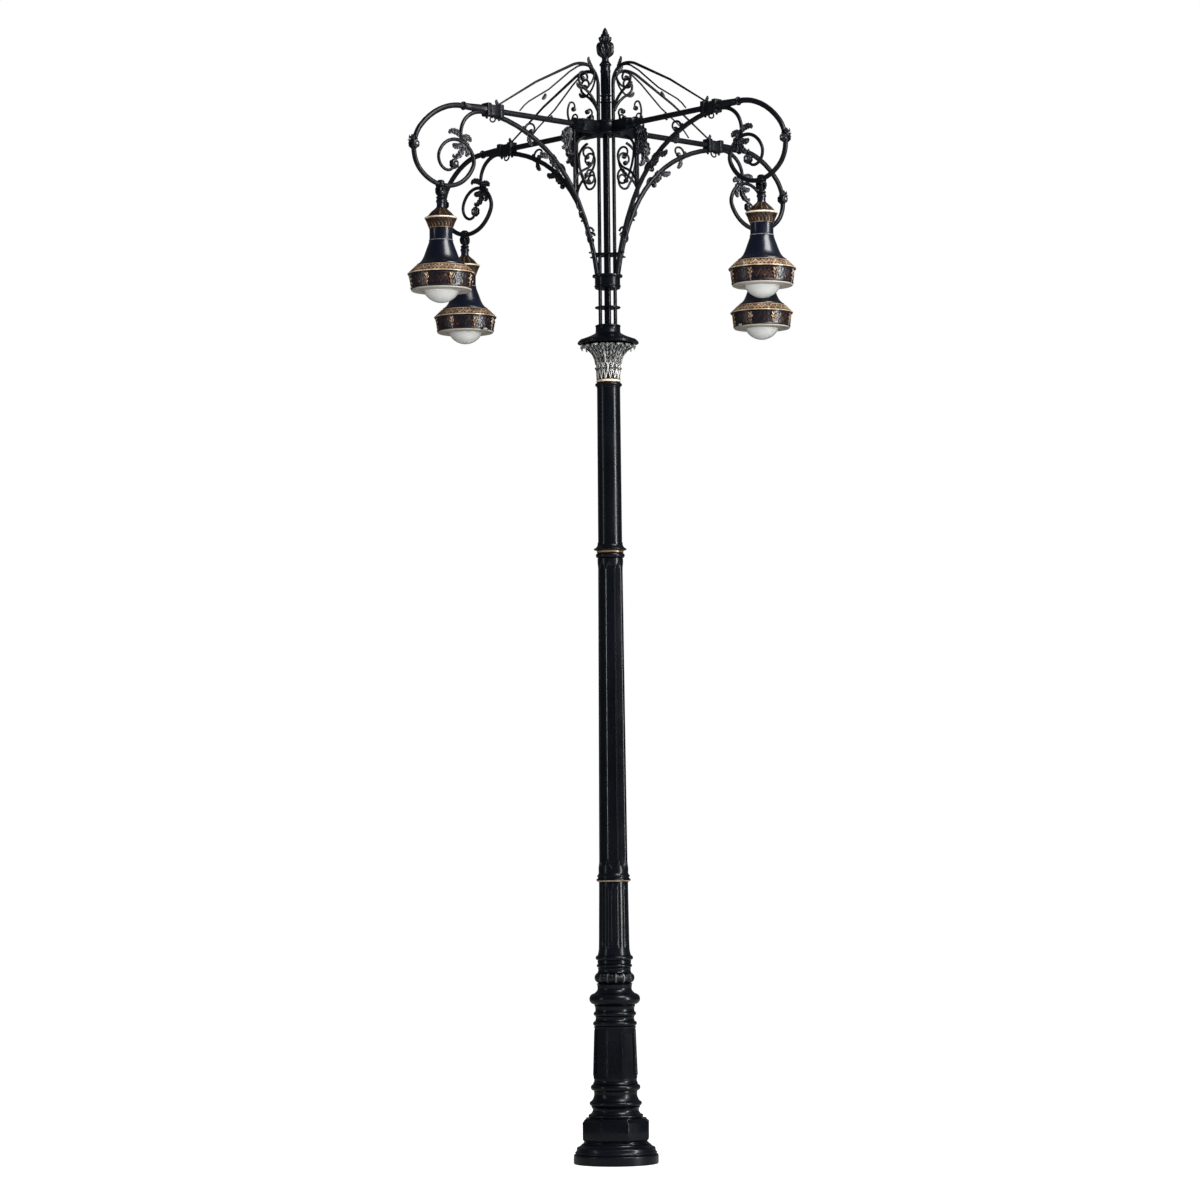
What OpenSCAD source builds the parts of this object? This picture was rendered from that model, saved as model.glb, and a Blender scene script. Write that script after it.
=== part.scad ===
// Four-arm cast-iron street lamp post with bell lanterns. Millimetres, +Z up,
// origin at the centre of the foot on the ground. Arm 1 points along +X and
// arms 2, 3 and 4 follow every quarter turn.

/* [Base] */
// Radius of the round foot
foot_r = 222; // [215:1:230]
// Width of the octagonal plinth across its flats
plinth_w = 343; // [330:1:350]
// Width of the pedestal across its flats, at the bottom
pedestal_w = 226; // [222:1:230]
// Width of the pedestal across its flats, at the top
pedestal_top_w = 210; // [206:1:214]
// Diameter of the circle that the anchor bolts stand on
anchor_pcd = 250; // [240:1:255]
// Diameter of each anchor bolt hole
anchor_hole_d = 26; // [22:1:27]

/* [Shaft] */
// Radius of the fluted shaft at its foot
shaft_r = 76; // [72:1:78]
// Radius of the fluted shaft at its head
shaft_top_r = 66; // [64:1:68]
// Number of flutes round the shaft
flute_count = 8; // [8:2:12]
// Height of the capital's neck above the ground
capital_z = 4113; // [4050:1:4170]
// Radius of the top of the capital
capital_r = 162; // [150:1:166]

/* [Arms] */
// Distance from the post's axis to each lantern's axis
arm_reach = 1155; // [1150:1:1160]
// Diameter of the round bar of each beam
beam_d = 30; // [28:1:30]
// Diameter of the bar of each hook
hook_d = 25; // [22:1:26]
// Diameter of the bar of each arch rib
rib_d = 22; // [20:1:22]
// Diameter of the four stage bars
stage_bar_d = 17; // [16:0.5:17]

/* [Lantern] */
// Radius of the bell's rim
bell_r = 171; // [168:1:172]
// Radius of the drum's lower edge
drum_r = 155; // [153:1:156]
// Radius of the glass bowl where it leaves its ring
bowl_r = 99; // [96:1:101]
// Thickness of the spun metal
spun_wall = 3; // [2.5:0.5:4]

/* [Hidden] */
$fn = 64;

iron = "#1b1c24";
enamel = "#10142a";
gold = "#b08a4a";
pewter = "#7d7d7f";
running_gap = 0.05;
draw_down = 0.4;

// Levels of the base
foot_top = 119;
plinth_top = 236;
pedestal_foot = 444;
pedestal_top = 704;
moulding_top = 1084;
hollow_r = 150;
bore_r = 60;
// Levels of the shaft
ring_top = 1518;
flutes_top = 3165;
upper_foot = 3250;
// Levels of the head, all counted from the capital
stage_z = capital_z + 293;
band_z = capital_z + 485;
band_h = 74;
spacer_z = capital_z + 667;
beam_z = capital_z + 1342;
hub_h = 70;
finial_z = capital_z + 1677;
pipe_r = 18;
stage_bar_u = 56;
// Door in the pedestal's back face
door_angle = 135;
door_w = 72;
door_h = 208;
door_t = 6;
door_y = 2;
door_gap = 0.5;
lock_y = door_y + 4;
hinge_x = door_gap + door_t / 2 + 2.5;
hinge_y = door_y - door_w / 2 - 6;
hinge_pin_r = 2.5;
face_z = (pedestal_foot + pedestal_top) / 2;
face_x = (pedestal_w + pedestal_top_w) / 4;
face_tilt = atan((pedestal_w - pedestal_top_w) / 2 / (pedestal_top - pedestal_foot));
cavity_r = 94;
// Lantern levels, counted down from the beams
pivot_drop = 461;
pin_r = 6;
bell_foot = -887;
drum_foot = -964;
bowl_hinge_r = 163;

// ---- Helpers ----

// Half outline of a plain or tapered drum from height z0 to z1
module step(z0, z1, r0, r1) polygon([[0, z0], [r0, z0], [r1, z1], [0, z1]]);

// Half outline of a rounded bead of outer radius r and thickness t, centred at height z
module bead(z, r, t) {
    translate([r - t / 2, z]) circle(d = t);
    translate([0, z - t / 2]) square([r - t / 2, t]);
}

// Turns a half outline round the post's axis, with a bore through it
module turned(bore) rotate_extrude() difference() {
    union() children();
    translate([-200, -1]) square([200 + bore, 6200]);
}

// Octagonal prism with flats facing the arms, w across flats
module octagon(w, h) rotate([0, 0, 22.5]) cylinder(d = w / cos(22.5), h = h, $fn = 8);

// Octagonal block that tapers from w0 to w1 across its flats
module tapered_octagon(w0, w1, h) intersection_for(a = [0, 45, 90, 135])
    rotate([0, 0, a]) rotate([90, 0, 0]) linear_extrude(w0 * 1.2, center = true)
        polygon([[-w0 / 2, 0], [w0 / 2, 0], [w1 / 2, h], [-w1 / 2, h]]);

// Lays a round bar in the XZ plane from point p at heading h degrees. Each move is
// [radius, turn in degrees, left positive] or [0, length] for a straight. The bar is
// drawn down as it goes, thinner by draw_down after each move.
module bent_bar(p, h, moves, d, k = 0) {
    if (k < len(moves)) {
        r = moves[k][0];
        a = moves[k][1];
        if (r == 0) translate([p.x, 0, p.y]) rotate([0, 90 - h, 0]) cylinder(d = d, h = a);
        else {
            c = p + sign(a) * r * [-sin(h), cos(h)];
            translate([c.x, 0, c.y]) rotate([90, 0, 0]) rotate([0, 0, a > 0 ? h - 90 : h + 90 + a])
                rotate_extrude(angle = abs(a)) translate([r, 0]) circle(d = d);
        }
        bent_bar(next_point(p, h, moves[k]), h + turn_of(moves[k]), moves, d - draw_down, k + 1);
    }
}
function next_point(p, h, move) = move[0] == 0
    ? p + move[1] * [cos(h), sin(h)]
    : p + sign(move[1]) * move[0] * [sin(h + move[1]) - sin(h), cos(h) - cos(h + move[1])];

function path_end(p, h, moves, k = 0) = k == len(moves)
    ? p
    : path_end(next_point(p, h, moves[k]), h + turn_of(moves[k]), moves, k + 1);
function turn_of(move) = move[0] == 0 ? 0 : move[1];
function turned_by(moves, k = 0) = k == len(moves) ? 0 : turn_of(moves[k]) + turned_by(moves, k + 1);

// Carries a piece to the plane of arm i, at the height of the beams
module at_arm(i) rotate([0, 0, 90 * (i - 1)]) translate([0, 0, beam_z]) children();

// Carries a piece to every arm
module on_arms() for (i = [1:4]) at_arm(i) children();

// Carries a piece to the lantern's axis on arm i, at the height of the beams
module at_lantern(i) at_arm(i) translate([arm_reach, 0, 0]) children();

// Carries a piece to the middle of the pedestal's back face: X out, Z up the face
module on_door_face() rotate([0, 0, door_angle]) translate([face_x, 0, face_z])
    rotate([0, -face_tilt, 0]) children();

// Flat disc of radius r across the bracket plane, at [u, z]
module rosette(u, z, r, t) translate([u, t / 2, z]) rotate([90, 0, 0]) cylinder(r = r, h = t);

// ---- Base ----

module foot() color(iron) difference() {
    turned(55) {
        step(0, 46, foot_r, foot_r);
        bead(60, foot_r - 7, 28);
        step(60, 86, foot_r - 17, foot_r - 26);
        bead(90, foot_r - 30, 20);
        step(90, 111, foot_r - 36, foot_r - 52);
        step(111, foot_top, foot_r - 58, foot_r - 62);
    }
    translate([0, 0, 24]) cylinder(r = hollow_r, h = foot_top);
    for (a = [45:90:315]) rotate([0, 0, a]) translate([anchor_pcd / 2, 0, -1])
        cylinder(d = anchor_hole_d, h = 40);
}

module plinth() color(iron) difference() {
    union() {
        translate([0, 0, foot_top]) octagon(plinth_w - 14, 8);
        translate([0, 0, foot_top + 8]) octagon(plinth_w, 100);
        translate([0, 0, foot_top + 108]) octagon(plinth_w - 14, plinth_top - foot_top - 108);
    }
    translate([0, 0, foot_top - 1]) cylinder(r = hollow_r, h = 102);
    translate([0, 0, foot_top]) cylinder(r = cavity_r, h = 200);
}

module pedestal() color(iron) difference() {
    union() {
        turned(1) {
            step(plinth_top, 240, 128, 128);
            bead(247, 143.5, 20);
            step(250, 290, 128, 120);
            bead(314, 137, 30);
            step(290, 360, 120, 111.5);
            step(355, 385, 111.5, 116);
            bead(397, 130, 36);
            step(380, pedestal_foot, 115, 113);
        }
        translate([0, 0, pedestal_foot])
            tapered_octagon(pedestal_w, pedestal_top_w, pedestal_top - pedestal_foot);
        on_door_face() hinge_lugs();
    }
    translate([0, 0, plinth_top - 1]) cylinder(r = cavity_r, h = pedestal_top - plinth_top - 13);
    translate([0, 0, plinth_top]) cylinder(r = bore_r, h = pedestal_top);
    on_door_face() translate([-40, door_y - 30, -95]) cube([60, 60, 190]);
    on_door_face() for (z = [-70, 70]) translate([hinge_x, hinge_y, z - 20])
        cylinder(r = hinge_pin_r, h = 40);
}

module hinge_lugs() for (z = [-70, 70]) for (s = [-1, 1]) translate([0, 0, z + s * 15 - 4]) {
    translate([hinge_x, hinge_y, 0]) cylinder(r = 5, h = 8);
    translate([-4, hinge_y - 4, 0]) cube([4 + hinge_x, 5, 8]);
}

module access_door() color(iron) on_door_face() difference() {
    union() {
        translate([door_gap, door_y - door_w / 2, -door_h / 2]) cube([door_t, door_w, door_h]);
        translate([-door_t, door_y - 28.5, -93.5]) cube([door_t + 1, 57, 187]);
        for (z = [-70, 70]) translate([0, 0, z - 10]) {
            translate([hinge_x, hinge_y, 0]) cylinder(r = 5, h = 20);
            translate([hinge_x - 3, hinge_y, 0]) cube([4, 8, 20]);
        }
    }
    for (z = [-70, 70]) translate([hinge_x, hinge_y, z - 11])
        cylinder(r = hinge_pin_r + running_gap, h = 22);
    translate([-20, lock_y, 0]) rotate([0, 90, 0]) cylinder(r = 7 + running_gap, h = 40);
}

module door_hinge_pins() color(pewter) on_door_face() for (z = [-70, 70])
    translate([hinge_x, hinge_y, z - 19]) {
        cylinder(r = hinge_pin_r, h = 39);
        translate([0, 0, 38]) cylinder(r = 4, h = 3);
    }

module door_lock() color(gold) on_door_face() translate([0, lock_y, 0]) {
    difference() {
        union() {
            translate([-24, 0, 0]) rotate([0, 90, 0]) cylinder(r = 7, h = 32);
            translate([-38, 0, 0]) rotate([0, 90, 0]) cylinder(r = 4, h = 15);
            translate([door_gap + door_t + 0.3, 0, 0]) rotate([0, 90, 0]) cylinder(r = 10, h = 3);
        }
        translate([5, 0, 0]) rotate([0, 90, 0]) cylinder(r = 4, h = 9, $fn = 3);
    }
    translate([-38, -5, 0]) cube([2, 10, 30]);
}

module fuse_board() color("#8a8378") rotate([0, 0, door_angle]) {
    difference() {
        translate([-44, -70, face_z - 95]) cube([8, 140, 190]);
        for (y = [-58, 58]) for (z = [-80, 80]) translate([-50, y, face_z + z])
            rotate([0, 90, 0]) cylinder(r = 3, h = 20);
    }
    for (y = [-50, 50]) translate([-87, y - 8, face_z - 70]) cube([43, 16, 20]);
    for (y = [-50, 50]) translate([-87, y - 8, face_z + 50]) cube([43, 16, 20]);
}

module fuse_box() color("#d8d6ce") rotate([0, 0, door_angle]) {
    translate([-36, -34, face_z - 55]) cube([44, 68, 110]);
    translate([8, -36, face_z - 57]) cube([4, 72, 114]);
    for (y = [-16, 16]) translate([-14, y, face_z - 71]) cylinder(r = 8, h = 16);
}

// ---- Shaft ----

module upper_moulding() color(iron) turned(bore_r) {
    step(pedestal_top, 720, 107, 107);
    bead(728, 115, 32);
    step(728, 765, 102, 102);
    bead(779, 111.5, 30);
    step(779, 830, 103, 106);
    bead(855, 133, 66);
    step(855, 899, 106, 90);
    step(899, 945, 89, 92);
    bead(966, 105.5, 52);
    step(966, 1010, 92, 86.5);
    bead(1029, 93, 22);
    step(1010, 1060, 86.5, 88);
    bead(1070, 98.6, 28);
}

module lower_shaft() color(iron) turned(bore_r) {
    step(moulding_top, 1110, 87, 81.5);
    step(1110, 1142, 81.5, 79.5);
    step(1142, 1470, 79.5, 76);
    bead(1477, 90, 16);
    step(1470, 1492, 82, 82);
    bead(1497, 86.6, 10);
    step(1492, ring_top, 80, 77);
}

module fluted_shaft() color(iron) difference() {
    turned(50) {
        step(ring_top, flutes_top, shaft_r + 2, shaft_top_r + 2);
        bead(3188, 77, 24);
        step(flutes_top, 3207, 69, 69);
        bead(3215, 86.5, 10);
        step(3207, upper_foot, 82, 66.6);
    }
    for (i = [0:flute_count - 1]) rotate([0, 0, i * 360 / flute_count]) flute();
}

// One shallow round-bottomed flute, leaning in with the taper
module flute() {
    r = 38;
    depth = 7;
    z0 = ring_top + 40;
    z1 = flutes_top - 40;
    lean = atan((shaft_r - shaft_top_r) / (flutes_top - ring_top));
    at_foot = shaft_r + 2 + r - depth;
    translate([at_foot, 0, z0]) rotate([0, -lean, 0]) cylinder(r = r, h = z1 - z0);
}

module upper_shaft() color(iron) turned(46) {
    step(upper_foot, capital_z - 38, 63.3, 61.3);
    bead(capital_z - 26, 71.6, 18);
    step(capital_z - 38, capital_z, 62.5, 62.5);
}

module capital() color(pewter) turned(46) {
    step(capital_z, capital_z + 87, 62.5, 62.5);
    step(capital_z + 87, capital_z + 128, 62.5, capital_r * 0.51);
    step(capital_z + 128, capital_z + 165, capital_r * 0.51, capital_r * 0.76);
    step(capital_z + 165, capital_z + 192, capital_r * 0.76, capital_r * 0.98);
    step(capital_z + 192, capital_z + 201, capital_r, capital_r);
}

module stage_collar() color(iron) difference() {
    turned(pipe_r) {
        step(capital_z + 201, capital_z + 213, capital_r - 2, capital_r - 13);
        step(capital_z + 213, capital_z + 224, capital_r - 13, 128);
        step(capital_z + 224, capital_z + 234, 128, 88);
        step(capital_z + 234, capital_z + 250, 88, 66.5);
        step(capital_z + 250, stage_z, 65, 65);
        bead(stage_z - 7, 67.5, 14);
    }
    on_arms() translate([stage_bar_u, 0, stage_z - 30 - beam_z])
        cylinder(d = stage_bar_d, h = 60);
}

// ---- Stage and hub ----

module centre_pipe() color(iron) {
    translate([0, 0, capital_z + 201]) cylinder(r = pipe_r, h = beam_z - hub_h / 2 + 10 - capital_z - 201);
    translate([0, 0, beam_z + hub_h / 2 - 10]) cylinder(r = 26, h = finial_z - beam_z - hub_h / 2 + 10);
    translate([0, 0, beam_z + 135]) cylinder(r = 29, h = 14);
    translate([0, 0, beam_z + 170]) cylinder(r = 29, h = 14);
}

module bar_holes(z, h) on_arms() translate([stage_bar_u, 0, z - beam_z]) cylinder(d = stage_bar_d, h = h);

module stage_band() color(iron) difference() {
    union() {
        translate([0, 0, band_z]) cylinder(r = 67, h = band_h - 12);
        translate([0, 0, band_z + band_h - 12]) cylinder(r = 80, h = 12);
        translate([0, 0, band_z + 8]) cylinder(r = 70, h = 8);
        translate([0, 0, stage_z + 88]) cylinder(r = 68, h = 8);
        translate([0, 0, spacer_z - 4]) cylinder(r = 68, h = 8);
        for (a = [0, 90]) rotate([0, 0, a]) translate([-128, -7, spacer_z - 4]) cube([256, 14, 8]);
    }
    bar_holes(stage_z, 500);
    translate([0, 0, stage_z]) cylinder(r = pipe_r, h = 600);
}

module hub() color(iron) difference() {
    union() {
        translate([0, 0, beam_z - hub_h / 2 - 4]) cylinder(r = 78, h = hub_h + 8);
        on_arms() {
            translate([40, -26, -hub_h / 2]) cube([150, 52, hub_h]);
            translate([150, 0, 0]) rotate([0, 90, 0]) cylinder(r = 31, h = 92);
        }
    }
    on_arms() translate([170, 0, 0]) rotate([0, 90, 0]) cylinder(d = beam_d, h = 100);
    bar_holes(beam_z - hub_h, 2 * hub_h);
    translate([0, 0, beam_z - hub_h]) cylinder(r = pipe_r, h = hub_h / 2 + 46);
    translate([0, 0, beam_z + hub_h / 2 - 10]) cylinder(r = 26, h = 40);
}

module finial() color(iron) translate([0, 0, finial_z]) turned(0) {
    bead(10, 32.5, 20);
    step(0, 30, 26, 21);
    step(28, 60, 20, 20);
    bead(94, 52.4, 84);
    step(130, 142, 30, 26);
    bead(150, 34, 14);
    step(142, 163, 25, 24);
    step(163, 179, 23, 18);
    step(179, 196, 14, 10);
    step(196, 210, 9, 2);
}

module stage_bars() color(iron) on_arms() {
    bent_bar([stage_bar_u, stage_z - 30 - beam_z], 90,
        [[0, beam_z - stage_z + 30 + 235], [95, -86]], stage_bar_d);
    bent_bar(next_point([stage_bar_u, 235], 90, [95, -86]), 4, [[190, -27], [3350, -10], [0, 16]], 10);
}

// ---- Arms ----

module beam(i) color(iron) at_arm(i) {
    translate([170, 0, 0]) rotate([0, 90, 0]) cylinder(d = beam_d, h = arm_reach - 318);
    translate([arm_reach - 318, 0, 0]) rotate([0, 90, 0]) cylinder(r1 = 22, r2 = 17, h = 162);
    translate([arm_reach - 156, 0, 0]) rotate([0, 90, 0]) cylinder(r = 22, h = 10);
    hook = [[330, -20], [400, -29], [190, -43], [145, -47], [235, -60], [200, -45]];
    hook_start = [arm_reach - 148, 0];
    bent_bar(hook_start, 0, hook, hook_d);
    bent_bar(path_end(hook_start, 0, hook), turned_by(hook),
        [[65, -43], [120, -66], [125, -72], [65, -103], [45, -70]], 17);
    rosette(arm_reach - 92, -308, 24, 16);
    // The knot half way round the hook, and the boss that carries the hanger
    translate([arm_reach + 183, 0, -225]) rotate([0, 10, 0]) cylinder(d = hook_d + 16, h = 50, center = true);
    translate([arm_reach, 0, -439]) cylinder(r = 25, h = 26);
}
module arch_rib(i) color(iron) at_arm(i) {
    bent_bar([850, -16], 184, [[865, 25], [735, 32], [1145, 20]], rib_d);
    bent_bar([850, -16], 0, [[0, 20], [160, -39], [125, -62]], 17);
}

module arm_clamps() color(iron) on_arms() {
    translate([arm_reach - 415, -26, -38]) cube([34, 52, 76]);
    translate([arm_reach - 335, -26, -38]) cube([34, 52, 70]);
    translate([arm_reach - 381, -21, -32]) cube([46, 42, 62]);
}

module scroll_work() color(iron) on_arms() {
    // Heart scroll against the stage bar, and the long curl from it to the beam
    bent_bar([62, 105], 64, [[210, -37], [100, 20], [40, 93], [30, 116], [15, 127]], 11);
    bent_bar([160, 195], 163, [[115, -57], [35, -87], [120, -47], [590, -13], [910, 15], [310, -24]], 9);
    // Hearts below the hub
    bent_bar([148, -60], -14, [[105, -33], [60, -47], [300, -33], [30, -28], [40, -152], [60, -150]], 10);
    bent_bar([231, -315], 107, [[120, 40], [230, 11], [85, -61], [40, -142], [15, -120]], 10);
    // Strut from the hub's end down to the rib
    translate([230, 0, -345]) cylinder(d = 14, h = 330);
    // Small curls on the rib and over the hub
    bent_bar([96, -560], 70, [[28, -200]], 9);
    bent_bar([250, 30], 100, [[60, 60], [26, 200]], 9);
    bent_bar([110, -5], 80, [[25, -300]], 9);
}

module acanthus_leaves() color(pewter) on_arms() {
    translate([0, 8, 0]) rotate([90, 0, 0]) linear_extrude(16)
        polygon([[250, -20], [330, -40], [340, -90], [300, -130], [262, -170], [250, -110]]);
    translate([arm_reach - 165, 7, -150]) rotate([90, 0, 0]) linear_extrude(14)
        polygon([[0, 0], [-30, 8], [-80, 0], [-92, 20], [-70, -40], [-30, -60], [10, -20]]);
}

// ---- Hangers and lanterns ----

module hanger_forks() color(iron) for (i = [1:4]) at_lantern(i) {
    translate([0, 0, -446]) cylinder(r = 20, h = 7);
    for (s = [-1, 1]) translate([0, s * 9, 0]) difference() {
        union() {
            translate([-13, -3, -pivot_drop]) cube([26, 6, pivot_drop - 446]);
            translate([0, 3, -pivot_drop]) rotate([90, 0, 0]) cylinder(r = 13, h = 6);
        }
        translate([0, 5, -pivot_drop]) rotate([90, 0, 0]) cylinder(r = pin_r, h = 10);
    }
}

module hanger_pins() color(pewter) for (i = [1:4]) at_lantern(i) {
    translate([0, 16, -pivot_drop]) rotate([90, 0, 0]) cylinder(r = pin_r, h = 31);
    translate([0, 18, -pivot_drop]) rotate([90, 0, 0]) cylinder(r = 9, h = 4);
}

// Outer half outline of the bell, from its crown to its rim
module bell_outline() {
    step(-551, -505, 25, 25);
    step(-570, -551, 51, 25);
    step(-597, -570, 78, 51);
    bead(-599, 81, 7);
    step(-649, -602, 60, 80);
    step(-712, -649, 59, 59);
    bead(-713, 63, 7);
    step(-759, -712, 81, 64);
    step(-795, -759, 94, 81);
    step(-836, -795, 127, 94);
    step(bell_foot, -836, bell_r, 127);
}

module bell(i) color(enamel) at_lantern(i) {
    rotate_extrude() difference() {
        bell_outline();
        translate([-spun_wall, -spun_wall - 0.01]) difference() {
            bell_outline();
            translate([-1, -690]) square([200, 300]);
        }
        translate([-60, -1000]) square([60, 700]);
    }
    difference() {
        union() {
            translate([-12, -5.5, -pivot_drop]) mirror([0, 0, 1]) cube([24, 11, 44]);
            translate([0, 5.5, -pivot_drop]) rotate([90, 0, 0]) cylinder(r = 12, h = 11);
            translate([0, 0, -506]) cylinder(r = 20, h = 18);
        }
        translate([0, 10, -pivot_drop]) rotate([90, 0, 0]) cylinder(r = pin_r + running_gap, h = 20);
    }
}

module drum(i) color("#2a1614") at_lantern(i) {
    rotate_extrude() difference() {
        union() {
            translate([0, bell_foot - 4]) square([bell_r, 4]);
            step(drum_foot, bell_foot - 4, drum_r, bell_r - 6);
        }
        polygon([[0, drum_foot - 1], [drum_r - 5, drum_foot - 1], [bell_r - 11, bell_foot - 4],
            [bell_r - 12, bell_foot + 1], [0, bell_foot + 1]]);
    }
    // Hinge lugs and pin of the bowl ring, on the side towards the post
    for (s = [-1, 1]) translate([-bowl_hinge_r, s * 17 + 4, drum_foot]) rotate([90, 0, 0]) {
        cylinder(r = 6, h = 8);
        translate([0, 0, 0]) cube([bowl_hinge_r - drum_r + 4, 6, 8]);
    }
    translate([-bowl_hinge_r, 21, drum_foot]) rotate([90, 0, 0]) cylinder(r = 3, h = 42);
}

module reflector(i) color("#cfd2d4") at_lantern(i) rotate_extrude() polygon([
    [drum_r - 3.5, drum_foot + 6], [drum_r - 16, drum_foot + 6], [70, -800], [28, -770],
    [28, -768], [71, -798], [drum_r - 15, drum_foot + 8], [drum_r - 3.5, drum_foot + 8]]);

module lampholder(i) color("#e4e2da") at_lantern(i) {
    translate([0, 0, -770]) cylinder(r = 20, h = 60);
    translate([0, 0, -770]) cylinder(r = 28, h = 4);
    translate([0, 0, -710]) cylinder(r = 8, h = 25);
}

module lamp(i) color("#f3eedf") at_lantern(i) rotate_extrude() {
    translate([0, -860]) intersection() {
        circle(r = 38);
        translate([0, -40]) square([40, 80]);
    }
    step(-850, -800, 34, 16);
    step(-802, -770, 14, 14);
}

module bowl_ring(i) color("#c9c9c4") at_lantern(i) difference() {
    union() {
        rotate_extrude() polygon([[bowl_r - 6, drum_foot - 9], [drum_r - 2, drum_foot - 9],
            [drum_r - 2, drum_foot - 1], [bowl_r + 1, drum_foot - 1], [bowl_r + 1, drum_foot - 5],
            [bowl_r - 6, drum_foot - 5]]);
        translate([-bowl_hinge_r, 12.5, drum_foot]) rotate([90, 0, 0]) {
            cylinder(r = 6, h = 25);
            translate([0, -8, 0]) cube([bowl_hinge_r - drum_r + 8, 6, 25]);
        }
    }
    translate([-bowl_hinge_r, 14, drum_foot]) rotate([90, 0, 0]) cylinder(r = 3 + running_gap, h = 28);
}

module glass_bowl(i) color("#eceee8") at_lantern(i) {
    depth = 60;
    cap_r = ((bowl_r - 7) * (bowl_r - 7) + depth * depth) / (2 * depth);
    lip_z = drum_foot - 5;
    intersection() {
        difference() {
            translate([0, 0, lip_z - 4 - depth + cap_r]) sphere(r = cap_r);
            translate([0, 0, lip_z - 4 - depth + cap_r]) sphere(r = cap_r - 4);
        }
        translate([0, 0, lip_z - 4 - depth - 1]) cylinder(r = bowl_r - 7, h = depth + 5);
    }
    translate([0, 0, lip_z]) difference() {
        cylinder(r = bowl_r, h = 3.5);
        translate([0, 0, -1]) cylinder(r = bowl_r - 11, h = 6);
    }
}

foot();
plinth();
pedestal();
access_door();
door_hinge_pins();
door_lock();
fuse_board();
fuse_box();
upper_moulding();
lower_shaft();
fluted_shaft();
upper_shaft();
capital();
stage_collar();
centre_pipe();
stage_band();
hub();
finial();
stage_bars();
arm_clamps();
scroll_work();
acanthus_leaves();
hanger_forks();
hanger_pins();
for (i = [1:4]) {
    beam(i);
    arch_rib(i);
    bell(i);
    drum(i);
    reflector(i);
    lampholder(i);
    lamp(i);
    bowl_ring(i);
    glass_bowl(i);
}
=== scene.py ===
"""Street lamp post with four bell lanterns: finishes and fine detail round the CAD frame.

Sizes in this script are millimetres, counted from the centre of the foot on the ground, and become
metres when a mesh is made. Arm 1 points along +X; arms 2 to 4 follow every quarter turn.
"""
import math

import bmesh
import bpy
from mathutils import Matrix, Vector


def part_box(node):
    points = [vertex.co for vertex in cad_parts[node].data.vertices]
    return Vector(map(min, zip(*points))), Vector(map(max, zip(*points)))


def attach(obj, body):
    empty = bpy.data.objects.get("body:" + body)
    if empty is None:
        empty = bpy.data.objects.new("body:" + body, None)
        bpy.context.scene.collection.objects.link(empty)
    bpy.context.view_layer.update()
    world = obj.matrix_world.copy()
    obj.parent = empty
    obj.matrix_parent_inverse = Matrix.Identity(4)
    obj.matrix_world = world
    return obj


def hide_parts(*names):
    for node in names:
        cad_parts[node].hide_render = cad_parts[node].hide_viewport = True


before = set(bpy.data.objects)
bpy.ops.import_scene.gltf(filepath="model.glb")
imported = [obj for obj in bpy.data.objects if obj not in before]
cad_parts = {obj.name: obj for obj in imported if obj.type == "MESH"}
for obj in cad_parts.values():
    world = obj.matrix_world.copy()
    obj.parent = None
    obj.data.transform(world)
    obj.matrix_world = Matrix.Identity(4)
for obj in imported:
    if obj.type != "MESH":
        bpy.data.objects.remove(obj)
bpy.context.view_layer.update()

MM = 0.001
ARMS = (1, 2, 3, 4)


def span(node):
    """Lowest and highest corner of a CAD node, in millimetres."""
    low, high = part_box(node)
    return [v / MM for v in low], [v / MM for v in high]


# ---- Levels and reaches, read from the frame ----

REACH = (span("drum_1")[0][0] + span("drum_1")[1][0]) / 2
BEAM_Z = (span("hub")[0][2] + span("hub")[1][2]) / 2
FOOT_R = span("foot")[1][0]
FOOT_TOP = span("foot")[1][2]
PLINTH_W = 2 * span("plinth")[1][0]
PLINTH_TOP = span("plinth")[1][2]
PEDESTAL_TOP = span("pedestal")[1][2]
MOULDING_TOP = span("lower_shaft")[0][2]
FLUTED_FOOT = span("fluted_shaft")[0][2]
UPPER_FOOT = span("upper_shaft")[0][2]
CAPITAL_Z = span("capital")[0][2]
CAPITAL_R = span("capital")[1][0]
CAPITAL_TOP = span("capital")[1][2]
COLLAR_TOP = span("stage_collar")[1][2]
FINIAL_Z = span("finial")[0][2]
POST_TOP = span("finial")[1][2]
STAGE_BAR_U = 56.0
PIVOT_Z = -461.0
PEDESTAL_FOOT = 444.0
PEDESTAL_W = 226.0
PEDESTAL_TOP_W = 210.0
CAVITY_R = 94.0
FOOT_HOLLOW_R = 150.0
LOWER_BORE, FLUTED_BORE, UPPER_BORE = 60.0, 50.0, 46.0
PIPE_R, BAND_BORE = 18.0, 19.0


# ---- Nodes and materials ----

def linear(hex_colour):
    """Turns an sRGB hex colour into linear RGBA."""
    parts = [int(hex_colour[i:i + 2], 16) / 255 for i in (1, 3, 5)]
    return [c / 12.92 if c <= 0.04045 else ((c + 0.055) / 1.055) ** 2.4 for c in parts] + [1.0]


def add(tree, kind, links=(), values=(), stops=(), **settings):
    """Adds a node: links feed its inputs from other nodes, values set its inputs, stops colour a ramp
    and settings set its properties."""
    node = tree.nodes.new(kind)
    for key, value in settings.items():
        setattr(node, key, value)
    for key, value in dict(values).items():
        node.inputs[key].default_value = value
    for key, source in dict(links).items():
        tree.links.new(source, node.inputs[key])
    for k, (place, colour) in enumerate(stops):
        marks = node.color_ramp.elements
        mark = marks[k] if k < 2 else marks.new(place)
        mark.position = place
        mark.color = linear(colour)
    return node


def per_metre(size_mm):
    """Noise scale that makes features about size_mm across."""
    return 500.0 / size_mm


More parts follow.
